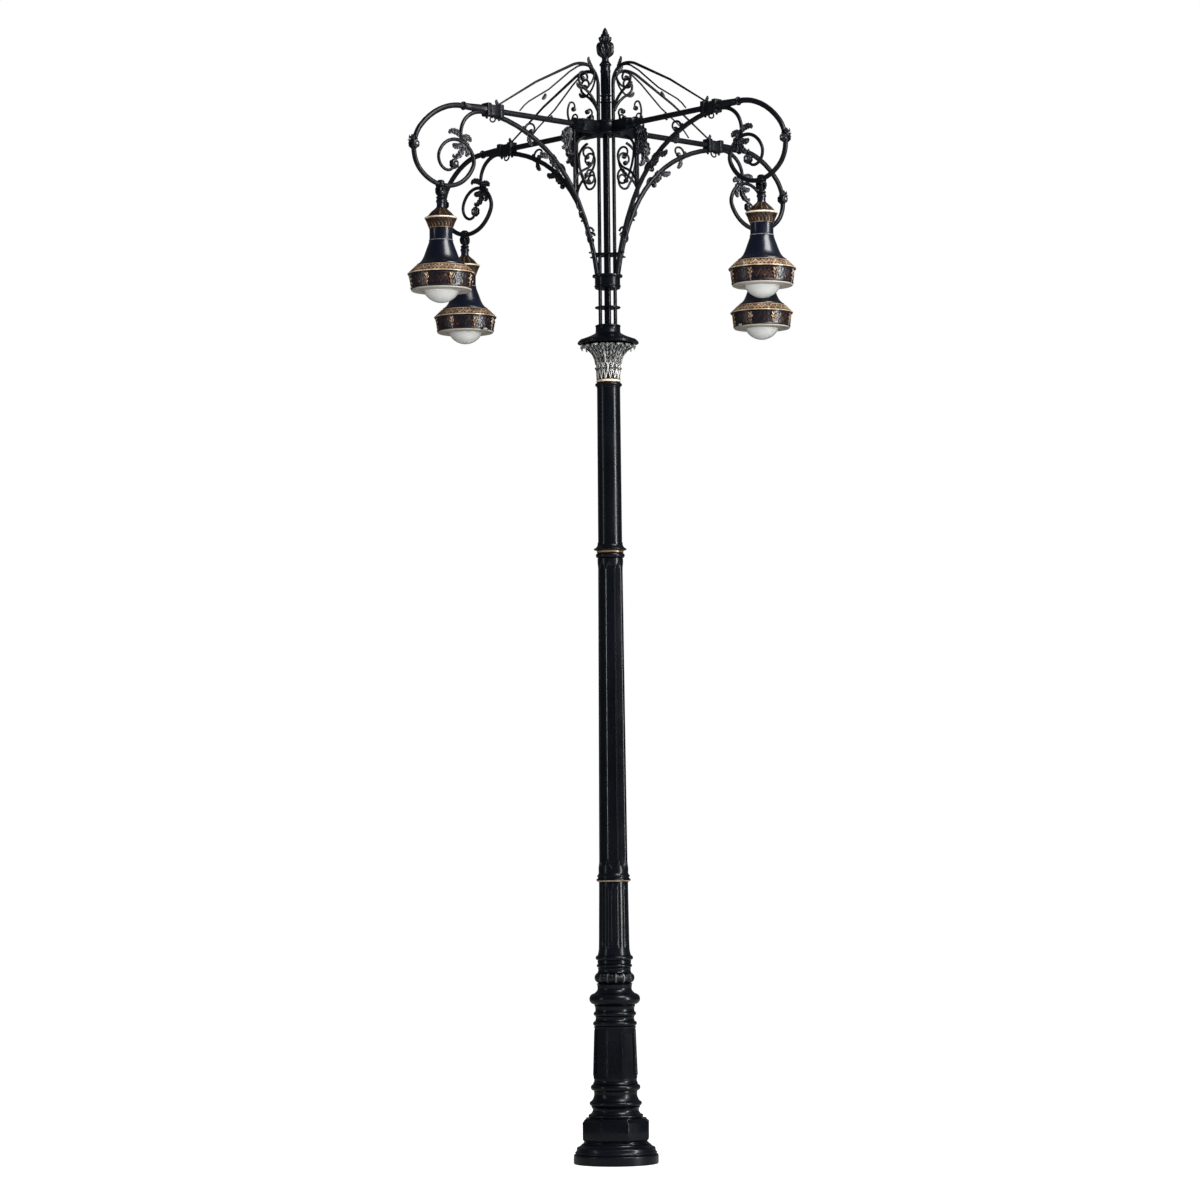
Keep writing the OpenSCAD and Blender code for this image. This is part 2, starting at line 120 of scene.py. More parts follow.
def finish(name, hues, patch_mm, rough=None, grain_mm=None, bumps=(), worn=0.0, **sockets):
    """One finish: hues mottled over patches, roughness that wanders over the grain, and bump layers of
    (size in mm, depth in mm). Where worn is given, the hues follow the height that a modelled ornament
    stores on its points, 0 in a groove and 1 on a crest, and the patches only shift it that much."""
    material = bpy.data.materials.new(name)
    material.use_nodes = True
    tree = material.node_tree
    body = tree.nodes["Principled BSDF"]
    for label, value in sockets.items():
        body.inputs[label.replace("_", " ")].default_value = value
    where = add(tree, "ShaderNodeTexCoord").outputs["Object"]
    patches = add(tree, "ShaderNodeTexNoise", {"Vector": where}, {"Scale": per_metre(patch_mm), "Detail": 3.0})
    height = patches.outputs["Fac"]
    if worn:
        relief = add(tree, "ShaderNodeAttribute", attribute_name="relief")
        shift = add(tree, "ShaderNodeMapRange", {"Value": height},
                    {"From Min": 0.3, "From Max": 0.7, "To Min": -worn, "To Max": worn})
        height = add(tree, "ShaderNodeMath", {0: relief.outputs["Fac"], 1: shift.outputs["Result"]},
                     operation="ADD").outputs[0]
    hue = add(tree, "ShaderNodeValToRGB", {"Fac": height}, stops=hues)
    tree.links.new(hue.outputs["Color"], body.inputs["Base Color"])
    if grain_mm:
        grain = add(tree, "ShaderNodeTexNoise", {"Vector": where}, {"Scale": per_metre(grain_mm), "Detail": 3.0})
        spread = add(tree, "ShaderNodeMapRange", {"Value": grain.outputs["Fac"]},
                     {"From Min": 0.35, "From Max": 0.65, "To Min": rough[0], "To Max": rough[1]})
        tree.links.new(spread.outputs["Result"], body.inputs["Roughness"])
    elif rough is not None:
        body.inputs["Roughness"].default_value = rough
    last = None
    for size, depth in bumps:
        swell = add(tree, "ShaderNodeTexNoise", {"Vector": where}, {"Scale": per_metre(size), "Detail": 2.0})
        links = {"Height": swell.outputs["Fac"]}
        if last:
            links["Normal"] = last.outputs["Normal"]
        last = add(tree, "ShaderNodeBump", links, {"Strength": 1.0, "Distance": depth * MM})
    if last:
        tree.links.new(last.outputs["Normal"], body.inputs["Normal"])
    return material


FINISH = {
    # Gloss black alkyd enamel over sand-cast iron: soft highlights over a slow casting swell
    "iron_enamel": finish("iron_enamel", [(0.3, "#030408"), (0.55, "#05070c"), (0.8, "#0a0d13")], 160,
                          (0.22, 0.32), 70, [(90, 0.1)], Specular_IOR_Level=0.2, Coat_Weight=0.12,
                          Coat_Roughness=0.1),
    # The same enamel over hammered wrought bar: slow hammer facets and thinner, greyer paint
    "wrought_enamel": finish("wrought_enamel", [(0.3, "#050608"), (0.6, "#090a10"), (0.85, "#15161c")], 60,
                             (0.3, 0.44), 40, [(30, 0.18)], Specular_IOR_Level=0.24, Coat_Weight=0.06,
                             Coat_Roughness=0.2),
    # Stoved navy enamel on spun steel: a soft sheen, with the slight swell of the spinning
    "bell_enamel": finish("bell_enamel", [(0.3, "#02040c"), (0.6, "#040819"), (0.85, "#09112e")], 120,
                          (0.28, 0.36), 60, [(60, 0.08)], Specular_IOR_Level=0.4, Coat_Weight=0.35,
                          Coat_Roughness=0.18),
    # Maroon satin paint over cast brass, rubbed thin so that bronze shows on the crests
    "drum_enamel": finish("drum_enamel", [(0.12, "#04050c"), (0.45, "#0b090f"), (0.72, "#1f1213"),
                                          (0.98, "#5e3f2c")], 30, (0.28, 0.4), 20, [(14, 0.05)], worn=0.16,
                          Coat_Weight=0.25, Coat_Roughness=0.2),
    # Gilt brass with brown patina left in the hollows and worn pale on its crests
    "antique_gold": finish("antique_gold", [(0.1, "#120b07"), (0.4, "#432f1f"), (0.68, "#a3866a"),
                                            (0.95, "#ecdcc2")], 20, (0.32, 0.48), 14, [(10, 0.05)], worn=0.14,
                           Metallic=0.3),
    # Antique silver paint over cast leaves: black in the veins, bare grey metal on the crests
    "pewter": finish("pewter", [(0.24, "#050608"), (0.5, "#1d1e22"), (0.74, "#8b8c8c"), (0.96, "#e6e4dd")], 18,
                     (0.3, 0.45), 14, [(9, 0.08)], worn=0.14, Metallic=0.4),
    # Leaf castings of the arms: black enamel, its crests rubbed down to grey metal
    "leaf_pewter": finish("leaf_pewter", [(0.35, "#050608"), (0.6, "#131419"), (0.8, "#45464c"),
                                          (0.98, "#9a999c")], 20, (0.26, 0.4), 16, [(12, 0.06)], worn=0.16,
                          Metallic=0.2),
    # Warm grey powder coat with its fine orange peel, drawn at 5 mm
    "grey_enamel": finish("grey_enamel", [(0.3, "#857f76"), (0.7, "#9f998f")], 60, 0.45, None, [(5, 0.05)]),
    # Pressed glass bowl, etched inside: milky and soft under a clear bright skin
    "opal_glass": finish("opal_glass", [(0.3, "#d0d1ce"), (0.7, "#e2e3e0")], 70, 0.16, None, [(60, 0.15)], IOR=1.5,
                         Transmission_Weight=0.35, Coat_Weight=0.6, Coat_Roughness=0.05),
    # Anodised spun aluminium: satin, with slight tool rings
    "spun_aluminium": finish("spun_aluminium", [(0.3, "#cfcfcd"), (0.7, "#dededc")], 40, (0.3, 0.42), 10,
                             [(5, 0.05)], Metallic=1.0),
    # Turned stainless steel with fine tool marks
    "pin_steel": finish("pin_steel", [(0.3, "#8e8f92"), (0.7, "#a6a7aa")], 12, (0.24, 0.38), 5, Metallic=1.0),
    # Lamp envelope of blown glass, white from the opal coating inside
    "lamp_glass": finish("lamp_glass", [(0.3, "#efe9da"), (0.7, "#f8f4e9")], 40, 0.15, Coat_Weight=0.5),
    # White glazed porcelain, its glaze slightly pooled
    "porcelain": finish("porcelain", [(0.3, "#ddd9ce"), (0.7, "#edeae3")], 25, 0.12, Coat_Weight=0.5),
    # Brown phenolic board, its paper layers showing as 4 mm fibres
    "board_laminate": finish("board_laminate", [(0.3, "#5a4028"), (0.7, "#7b5d41")], 4, 0.45),
    # Moulded pale grey thermoset with a fine matt texture, drawn at 3 mm
    "fuse_plastic": finish("fuse_plastic", [(0.3, "#c6c2b8"), (0.7, "#d6d3cb")], 30, 0.5, None, [(3, 0.04)]),
}


# ---- Outlines ----

def arc(cx, cy, radius, start, end, count=8):
    """Points along an arc, angles in degrees."""
    return [(cx + radius * math.cos(math.radians(start + (end - start) * k / count)),
             cy + radius * math.sin(math.radians(start + (end - start) * k / count))) for k in range(count + 1)]


def bead(z, radius, thick, count=10):
    """Half-round bead of outer radius and thickness, as outline points (r, z)."""
    return arc(radius - thick / 2, z, thick / 2, -90, 90, count)


def cove(r0, z0, r1, z1, depth, count=7):
    """Hollow between two outline points, pulled in towards the axis by depth at its middle."""
    points = []
    for k in range(count + 1):
        t = k / count
        points.append((r0 + (r1 - r0) * t - depth * 4 * t * (1 - t), z0 + (z1 - z0) * t))
    return points


def walk(line, count):
    """Even steps along a line of points: each step's share of the way, its point and the way's slope."""
    lengths = [0.0]
    for a, b in zip(line, line[1:]):
        lengths.append(lengths[-1] + math.dist(a, b))
    for j in range(count + 1):
        run = j / count * lengths[-1]
        k = max(i for i in range(len(lengths) - 1) if lengths[i] <= run + 1e-9)
        f = (run - lengths[k]) / (lengths[k + 1] - lengths[k])
        dx, dy = line[k + 1][0] - line[k][0], line[k + 1][1] - line[k][1]
        size = math.hypot(dx, dy)
        yield j / count, line[k][0] + dx * f, line[k][1] + dy * f, dx / size, dy / size


def pen_path(start, heading, moves, step=5.0):
    """Points of a path in the bracket plane, from start (u, z) at a heading in degrees. Each move is
    (radius, turn in degrees, left positive) or (0, length) for a straight."""
    (u, z), h = start, math.radians(heading)
    points = [(u, z)]
    for radius, amount in moves:
        if radius == 0:
            u += amount * math.cos(h)
            z += amount * math.sin(h)
            points.append((u, z))
            continue
        side = math.copysign(1, amount)
        cu, cz = u - side * radius * math.sin(h), z + side * radius * math.cos(h)
        count = max(2, int(abs(amount) / step))
        for k in range(1, count + 1):
            a = h + math.radians(amount) * k / count
            points.append((cu + side * radius * math.sin(a), cz - side * radius * math.cos(a)))
        h += math.radians(amount)
        u, z = points[-1]
    return points


# ---- Meshes ----

def store(mesh, field, values):
    """Stores one value for each point of a mesh."""
    mesh.attributes.new(field, "FLOAT", "POINT").data.foreach_set("value", values)


def mesh_object(name, points, faces, edges=(), finish=None, relief=None):
    """An object made from points in millimetres."""
    mesh = bpy.data.meshes.new(name)
    mesh.from_pydata([(x * MM, y * MM, z * MM) for x, y, z in points], edges, faces)
    if relief is not None:
        store(mesh, "relief", relief)
    obj = bpy.data.objects.new(name, mesh)
    bpy.context.collection.objects.link(obj)
    if finish:
        mesh.materials.append(FINISH[finish])
    return obj


def smooth(obj, angle=32):
    """Shades smooth with sharp edges past the angle."""
    obj.data.shade_smooth()
    obj.data.set_sharp_from_angle(angle=math.radians(angle))
    return obj


def tidy_normals(obj, merge=0.01):
    """Merges doubled points and turns all faces outwards."""
    work = bmesh.new()
    work.from_mesh(obj.data)
    bmesh.ops.remove_doubles(work, verts=work.verts, dist=merge * MM)
    bmesh.ops.recalc_face_normals(work, faces=work.faces)
    work.to_mesh(obj.data)
    work.free()
    return obj


def settled(obj):
    """Applies every modifier, leaving a plain mesh on the object."""
    evaluated = obj.evaluated_get(bpy.context.evaluated_depsgraph_get())
    mesh = bpy.data.meshes.new_from_object(evaluated)
    obj.modifiers.clear()
    old = obj.data
    obj.data = mesh
    bpy.data.meshes.remove(old)
    mesh.name = obj.name
    return obj


def modified(obj, kind, **settings):
    """Adds a modifier and applies it at once."""
    modifier = obj.modifiers.new(kind.lower(), kind)
    for key, value in settings.items():
        setattr(modifier, key, value)
    bpy.context.view_layer.update()
    return settled(obj)


def placed(obj, matrix):
    """Moves the mesh itself, so the object stays at the origin."""
    obj.data.transform(matrix)
    if matrix.determinant() < 0:
        obj.data.flip_normals()
    return obj


def copied(obj, name, matrix):
    """A copy of the object with its own moved mesh."""
    twin = bpy.data.objects.new(name, obj.data.copy())
    bpy.context.collection.objects.link(twin)
    return placed(twin, matrix)


def joined(name, parts):
    """One object out of several, keeping their materials and relief."""
    work = bmesh.new()
    materials = []
    for part in parts:
        mesh = part.data
        slots = []
        for material in mesh.materials:
            if material not in materials:
                materials.append(material)
            slots.append(materials.index(material))
        for face in mesh.polygons:
            face.material_index = slots[face.material_index] if slots else 0
        work.from_mesh(mesh)
    mesh = bpy.data.meshes.new(name)
    work.to_mesh(mesh)
    work.free()
    for material in materials:
        mesh.materials.append(material)
    for part in parts:
        bpy.data.objects.remove(part)
    obj = bpy.data.objects.new(name, mesh)
    bpy.context.collection.objects.link(obj)
    return obj


def tube_faces(bands, rows, sides):
    """Side faces of a tube of point rows, the last row followed by the first."""
    faces = []
    for j in range(bands):
        for k in range(sides):
            k2, n = (k + 1) % sides, (j + 1) % rows
            faces.append((j * sides + k, j * sides + k2, n * sides + k2, n * sides + k))
    return faces


def end_faces(rows, sides):
    """First and last face that close a tube of point rows."""
    return [tuple(range(sides - 1, -1, -1)), tuple((rows - 1) * sides + k for k in range(sides))]


def turned(name, outline, finish, bore=0.0, sides=96, shape=None, angle=32, relief=None):
    """Turns an outline of (r, z) points round the axis, closed by a bore or on the axis. shape(r, a, z)
    may change the radius at angle a, and relief is the polish of a plain ring in an ornament's finish."""
    rows = list(outline)
    if bore > 0:
        rows = rows + [(bore, rows[-1][1]), (bore, rows[0][1])]
    points = []
    for r, z in rows:
        for k in range(sides):
            a = 2 * math.pi * k / sides
            rr = max(shape(r, a, z) if shape and r > bore else r, 0.02)
            points.append((rr * math.cos(a), rr * math.sin(a), z))
    count = len(rows)
    if bore > 0:
        faces = tube_faces(count, count, sides)
    else:
        faces = tube_faces(count - 1, count, sides) + end_faces(count, sides)
    heights = None if relief is None else [relief] * len(points)
    obj = mesh_object(name, points, faces, finish=finish, relief=heights)
    return smooth(tidy_normals(obj, 0.001), angle)


def prism(name, levels, finish, corners=8, turn=22.5, bevel=3.0):
    """Stack of polygon sections: levels of (z, width across flats), with softened arrises."""
    points = []
    for z, width in levels:
        r = width / 2 / math.cos(math.pi / corners)
        for k in range(corners):
            a = math.radians(turn) + 2 * math.pi * k / corners
            points.append((r * math.cos(a), r * math.sin(a), z))
    faces = tube_faces(len(levels) - 1, len(levels), corners) + end_faces(len(levels), corners)
    obj = mesh_object(name, points, faces, finish=finish)
    if bevel:
        modified(obj, "BEVEL", width=bevel * MM, segments=3, limit_method="ANGLE")
    return smooth(obj, 30)


def block(name, low, high, finish, bevel=2.0, matrix=None):
    """Box with rounded edges between two corners."""
    xs, ys, zs = zip(low, high)
    points = [(x, y, z) for x in xs for y in ys for z in zs]
    faces = [(0, 1, 3, 2), (4, 6, 7, 5), (0, 4, 5, 1), (2, 3, 7, 6), (0, 2, 6, 4), (1, 5, 7, 3)]
    obj = mesh_object(name, points, faces, finish=finish)
    tidy_normals(obj)
    if bevel:
        modified(obj, "BEVEL", width=bevel * MM, segments=3)
    smooth(obj, 40)
    return placed(obj, matrix) if matrix else obj


def cut(obj, cutter):
    """Takes the cutter's shape out of the object and deletes the cutter."""
    modified(obj, "BOOLEAN", object=cutter, operation="DIFFERENCE", solver="EXACT")
    bpy.data.objects.remove(cutter)
    return obj


def shifted(x, y, z):
    """A move by millimetres."""
    return Matrix.Translation((x * MM, y * MM, z * MM))


def turned_about(axis, degrees):
    """A turn about an axis through the origin."""
    return Matrix.Rotation(math.radians(degrees), 4, axis)


def in_arm(i):
    """Carries arm 1 to arm i."""
    return turned_about("Z", 90 * (i - 1))


def at_lantern(i):
    """Carries a lantern built on the Z axis, its heights counted from the beams, to arm i."""
    return in_arm(i) @ shifted(REACH, 0, BEAM_Z)


def cylinder(name, base, tip, r0, r1, finish, sides=32):
    """Round bar between two points in millimetres, with its own radius at each end."""
    way = Vector(tip) - Vector(base)
    obj = turned(name, [(0, 0), (r0, 0), (r1, way.length), (0, way.length)], finish, sides=sides)
    lean = way.to_track_quat("Z", "Y").to_matrix().to_4x4()
    return placed(obj, Matrix.Translation(Vector(base) * MM) @ lean)


# ---- Geometry node trees ----

def group_tree(name, sockets):
    """An empty geometry node tree with named inputs of (name, kind, default)."""
    tree = bpy.data.node_groups.new(name, "GeometryNodeTree")
    tree.interface.new_socket("Geometry", in_out="INPUT", socket_type="NodeSocketGeometry")
    for label, kind, default in sockets:
        socket = tree.interface.new_socket(label, in_out="INPUT", socket_type=kind)
        if default is not None:
            socket.default_value = default
    tree.interface.new_socket("Geometry", in_out="OUTPUT", socket_type="NodeSocketGeometry")
    return tree, add(tree, "NodeGroupInput").outputs


def closing(tree, geometry, material):
    """Ends a tree in plain geometry with its finish set."""
    real = add(tree, "GeometryNodeRealizeInstances", {"Geometry": geometry})
    done = add(tree, "GeometryNodeSetMaterial", {"Geometry": real.outputs[0], "Material": material})
    add(tree, "NodeGroupOutput", {0: done.outputs[0]})
    return tree


def forged_bar_tree():
    """Sweeps a round section along each wire, its radius read from the wire's bar_radius."""
    tree, given = group_tree("forged_bar", [("Sides", "NodeSocketInt", 14), ("Finish", "NodeSocketMaterial", None)])
    curve = add(tree, "GeometryNodeMeshToCurve", {"Mesh": given["Geometry"]})
    width = add(tree, "GeometryNodeInputNamedAttribute", values={"Name": "bar_radius"}, data_type="FLOAT")
    section = add(tree, "GeometryNodeCurvePrimitiveCircle", {"Resolution": given["Sides"]}, {"Radius": 1.0})
    swept = add(tree, "GeometryNodeCurveToMesh", {"Curve": curve.outputs[0], "Profile Curve": section.outputs[0],
                                                  "Scale": width.outputs["Attribute"]}, {"Fill Caps": True})
    return closing(tree, swept.outputs[0], given["Finish"])


def ring_tree():
    """Repeats a piece round the Z axis: Count copies over a full turn, from a Start angle."""
    tree, given = group_tree("ring_of", [("Count", "NodeSocketInt", 4), ("Start", "NodeSocketFloat", 0.0),
                                         ("Finish", "NodeSocketMaterial", None)])
    spots = add(tree, "GeometryNodePoints", {"Count": given["Count"]})
    index = add(tree, "GeometryNodeInputIndex")
    share = add(tree, "ShaderNodeMath", {0: index.outputs[0], 1: given["Count"]}, operation="DIVIDE")
    turn = add(tree, "ShaderNodeMath", {0: share.outputs[0], 2: given["Start"]}, {1: 2 * math.pi},
               operation="MULTIPLY_ADD")
    spin = add(tree, "ShaderNodeCombineXYZ", {"Z": turn.outputs[0]})
    item = add(tree, "GeometryNodeGeometryToInstance", {"Geometry": given["Geometry"]})
    ring = add(tree, "GeometryNodeInstanceOnPoints", {"Points": spots.outputs[0], "Instance": item.outputs[0],
                                                      "Rotation": spin.outputs[0]})
    return closing(tree, ring.outputs[0], given["Finish"])


def run_tree(obj, tree, **values):
    """Runs a geometry node tree on the object and leaves a plain mesh."""
    modifier = obj.modifiers.new(tree.name, "NODES")
    modifier.node_group = tree
    for item in tree.interface.items_tree:
        if item.in_out == "INPUT" and item.name in values:
            modifier[item.identifier] = values[item.name]
    bpy.context.view_layer.update()
    return settled(obj)


FORGED_BAR = forged_bar_tree()
RING_OF = ring_tree()


def bars(name, paths, finish="wrought_enamel", sides=14):
    """Forged bars in the bracket plane, from (points, start radius, end radius). Heights are counted
    from the beams."""
    points, edges, radii = [], [], []
    for path, r0, r1 in paths:
        first = len(points)
        lengths = [0.0]
        for a, b in zip(path, path[1:]):
            lengths.append(lengths[-1] + math.dist(a, b))
        for (u, z), run in zip(path, lengths):
            points.append((u, 0.0, z + BEAM_Z))
            radii.append((r0 + (r1 - r0) * run / lengths[-1]) * MM)
        edges += [(first + k, first + k + 1) for k in range(len(path) - 1)]
    obj = mesh_object(name, points, [], edges)
    store(obj.data, "bar_radius", radii)
    run_tree(obj, FORGED_BAR, Sides=sides, Finish=FINISH[finish])
    return smooth(obj, 50)


def ring_of(obj, count, finish, start=0.0):
    """Repeats the piece round the Z axis."""
    return run_tree(obj, RING_OF, Count=count, Start=start, Finish=FINISH[finish])


# ---- Leaves and rosettes ----

def leaf(name, spine, width, lobes=4, thick=3.0, cup=0.25, sweep=0.3, finish="leaf_pewter", rows=30,
         across=8, peak=1.0, roll=0.0):
    """Acanthus leaf. The spine is (x, z) points in the XZ plane and the blade spreads along Y, or turns
    about its spine by roll degrees. Lobes notch each edge and veins run out to them. A peak over 1
    makes it widest towards the tip."""
    points, relief = [], []
    lean, rise = math.cos(math.radians(roll)), math.sin(math.radians(roll))
    for s, x, z, dx, dz in walk(spine, rows):
        half = width / 2 * max(0.03, math.sin(math.pi * (0.14 + 0.86 * s) ** (1.1 * peak)) ** 0.7 if s < 1 else 0)
        for i in range(-across, across + 1):
            t = i / across
            edge = abs(t)
            lobe = abs(math.sin(math.pi * (lobes * s - 0.15)))
            reach = 1 - 0.42 * edge ** 3 * (1 - lobe ** 0.7)
            vein = math.cos(2 * math.pi * (lobes * s - 0.75 * edge - 0.1))
            rib = math.exp(-(t * 7) ** 2)
            lift = cup * half * edge ** 1.6 + 0.05 * width * vein * edge ** 0.7 * min(1, 4 * s) + 0.07 * width * rib
            drift = sweep * half * edge ** 1.4
            side = t * half * reach
            y = side * lean - lift * rise
            n = side * rise + lift * lean
            points.append((x - dz * n + dx * drift, y, z + dx * n + dz * drift))
            relief.append(min(1.0, max(0.0, 0.45 + 0.4 * vein * edge ** 0.5 + 0.45 * rib)))
    row = 2 * across + 1
    faces = [(a, a + 1, a + row + 1, a + row) for a in range(rows * row) if (a + 1) % row]
    obj = mesh_object(name, points, faces, finish=finish, relief=relief)
    modified(obj, "SOLIDIFY", thickness=thick * MM, offset=0.0)
    return smooth(obj, 60)


def ornament_band(name, outline, motifs, depth, pattern, finish, rows=16, per_motif=10, back=4.0):
    """Turned band whose outer face carries a repeated relief: pattern(u, v) gives its height from 0 to 1
    across a motif (u from -1 to 1) and along the outline (v from 0 to 1)."""
    sides = motifs * per_motif
    points, relief = [], []
    for v, r, z, dr, dz in walk(outline, rows):
        for i in range(sides):
            u = 2 * ((i / per_motif) % 1.0) - 1
            height = min(1.0, max(0.0, pattern(u, v)))
            a = 2 * math.pi * i / sides
            rr, zz = r + dz * depth * height, z - dr * depth * height
            points.append((rr * math.cos(a), rr * math.sin(a), zz))
            relief.append(height)
    for r, z in [(r - back, z) for r, z in reversed(outline)]:
        for i in range(sides):
            a = 2 * math.pi * i / sides
            points.append((r * math.cos(a), r * math.sin(a), z))
            relief.append(0.0)
    count = rows + 1 + len(outline)
    obj = mesh_object(name, points, tube_faces(count, count, sides), finish=finish, relief=relief)
    return smooth(tidy_normals(obj, 0.001), 70)


def leaf_pattern(u, v):
    """Upright pointed leaves with a midrib and side veins, and darts between them."""
    half = 0.9 * math.sin(math.pi * min(1.0, 0.12 + 0.85 * v)) ** 0.6
    x = abs(u) / max(half, 0.05)
    if x < 1:
        veins = 0.3 * math.cos(2 * math.pi * (3 * v - 0.8 * x)) * x
        return max(0.0, 0.45 + 0.4 * math.exp(-(x * 5) ** 2) + veins - 0.25 * x ** 4)
    return 0.55 * math.exp(-((1 - abs(u)) * 9) ** 2)


def scroll_pattern(u, v):
    """Running foliage: a winding stem with a spiral shoot in each bend, between plain edges."""
    height = math.exp(-((v - 0.5 - 0.26 * math.sin(math.pi * u)) * 9) ** 2)
    for cu, cv, way in ((-0.5, 0.64, 1), (0.5, 0.36, -1)):
        x, y = (u - cu) * 1.7, (v - cv) * 2.4
        r = math.hypot(x, y)
        spiral = 0.5 + 0.5 * math.cos(2 * math.pi * 2.6 * r - way * math.atan2(y, x))
        height = max(height, spiral * min(1.0, max(0.0, 6 * (0.8 - r))))
    edge = math.exp(-((v - 0.03) * 18) ** 2) + math.exp(-((v - 0.97) * 18) ** 2)
    return 0.16 + 0.66 * height + 0.6 * edge


def lattice_pattern(u, v):
    """Interlaced upright strands that cross and part, with short veins between them."""
    a = math.cos(math.pi * (u + 4.0 * v))
    b = math.cos(math.pi * (u - 4.0 * v))
    veins = 0.3 * math.cos(2 * math.pi * (9 * v + abs(u)))
    return 0.2 + 0.8 * max(a, b, 0.0) ** 2 + veins * (1 - max(a, b, 0.0))


def rosette(name, radius, thick, petals=6, finish="leaf_pewter"):
    """Small turned rosette facing +Z with petals round a button."""
    shares = ((1, 0), (1, 0.4), (0.85, 0.8), (0.6, 1), (0.42, 0.6), (0.34, 0.9), (0.2, 1.3), (0, 1.4))
    rows = [(radius * r, thick * z) for r, z in shares]

    def petal(r, a, z):
        return r * (1 - 0.16 * (1 - abs(math.sin(petals * a / 2))) ** 1.5) if r > radius * 0.5 else r

    obj = turned(name, rows, finish, sides=48, shape=petal, angle=60)
    top = max(v.co.z for v in obj.data.vertices)
    values = [min(1.0, max(0.0, v.co.z / top)) for v in obj.data.vertices]
    store(obj.data, "relief", values)
    return obj


def both_faces(make, name, u, z, half):
    """A rosette on each face of a bracket, at (u, z) counted from the beams."""
    parts = []
    for side in (1, -1):
        place = shifted(u, side * half, z + BEAM_Z) @ turned_about("X", -90 * side)
        parts.append(placed(make(f"{name}_{side}"), place))
    return parts


def show(piece, body, slot, *nodes):
    """Hangs a finished piece on the empty of the body it rides on and hides the CAD nodes it stands for. The slot
    argument is not used.
    """
    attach(piece, body)
    if nodes:
        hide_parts(*nodes)
    return piece


def show_iron(piece, node):
    """Hangs a plain iron piece of the post on the root body and hides the one CAD node it stands for."""
    return show(piece, "root", "iron_enamel", node)


def show_gilt(name, outline, bore, relief):
    """A gilt line or band round the post."""
    return show(turned(name, outline, "antique_gold", bore=bore, relief=relief), "root", "antique_gold")


# ---- Base ----

def foot():
    """Round two-stepped foot casting, hollow, with its four anchor holes and cable entry."""
    outline = [(FOOT_R - 3, 0), (FOOT_R, 4), (FOOT_R, 40)] + arc(FOOT_R - 8, 42, 8, 0, 80, 5)
    outline += [(FOOT_R - 10, 52)] + bead(58, FOOT_R - 7, 10, 6)
    outline += [(FOOT_R - 14, 66), (FOOT_R - 16, 76)] + arc(FOOT_R - 26, 78, 10, 0, 90, 5)
    outline += cove(FOOT_R - 28, 89, FOOT_R - 42, 102, 2, 5) + bead(107, FOOT_R - 50, 9, 6)
    outline += [(FOOT_R - 58, 113), (FOOT_R - 60, FOOT_TOP)]
    outline += [(FOOT_HOLLOW_R, FOOT_TOP), (FOOT_HOLLOW_R, 24)]
    piece = turned("foot_casting", outline, "iron_enamel", bore=55)
    for k in range(4):
        a = math.radians(45 + 90 * k)
        x, y = 125 * math.cos(a), 125 * math.sin(a)
        cut(piece, cylinder("drill", (x, y, -10), (x, y, 40), 13, 13, "iron_enamel"))
    show_iron(smooth(piece), "foot")


def plinth():
    """Octagonal plinth block with a chamfered top and a fine lip at its foot."""
    w, z = PLINTH_W, FOOT_TOP
    piece = prism("plinth_block", [(z, w - 14), (z + 6, w - 10), (z + 8, w), (z + 96, w), (z + 104, w - 8),
                                   (z + 107, w - 22), (PLINTH_TOP, w - 30)], "iron_enamel", bevel=2.5)
    cut(piece, cylinder("hollow", (0, 0, z - 5), (0, 0, z + 100), FOOT_HOLLOW_R, FOOT_HOLLOW_R, "iron_enamel", 64))
    cut(piece, cylinder("neck", (0, 0, z), (0, 0, z + 300), CAVITY_R, CAVITY_R, "iron_enamel", 64))
    show_iron(smooth(piece, 30), "plinth")


def door_place():
    """Frame on the middle of the pedestal's back face: X out of the face, Z up it."""
    tilt = math.atan((PEDESTAL_W - PEDESTAL_TOP_W) / 2 / (PEDESTAL_TOP - PEDESTAL_FOOT))
    out = (PEDESTAL_W + PEDESTAL_TOP_W) / 4
    height = (PEDESTAL_FOOT + PEDESTAL_TOP) / 2
    return turned_about("Z", 135) @ shifted(out, 0, height) @ Matrix.Rotation(-tilt, 4, "Y")


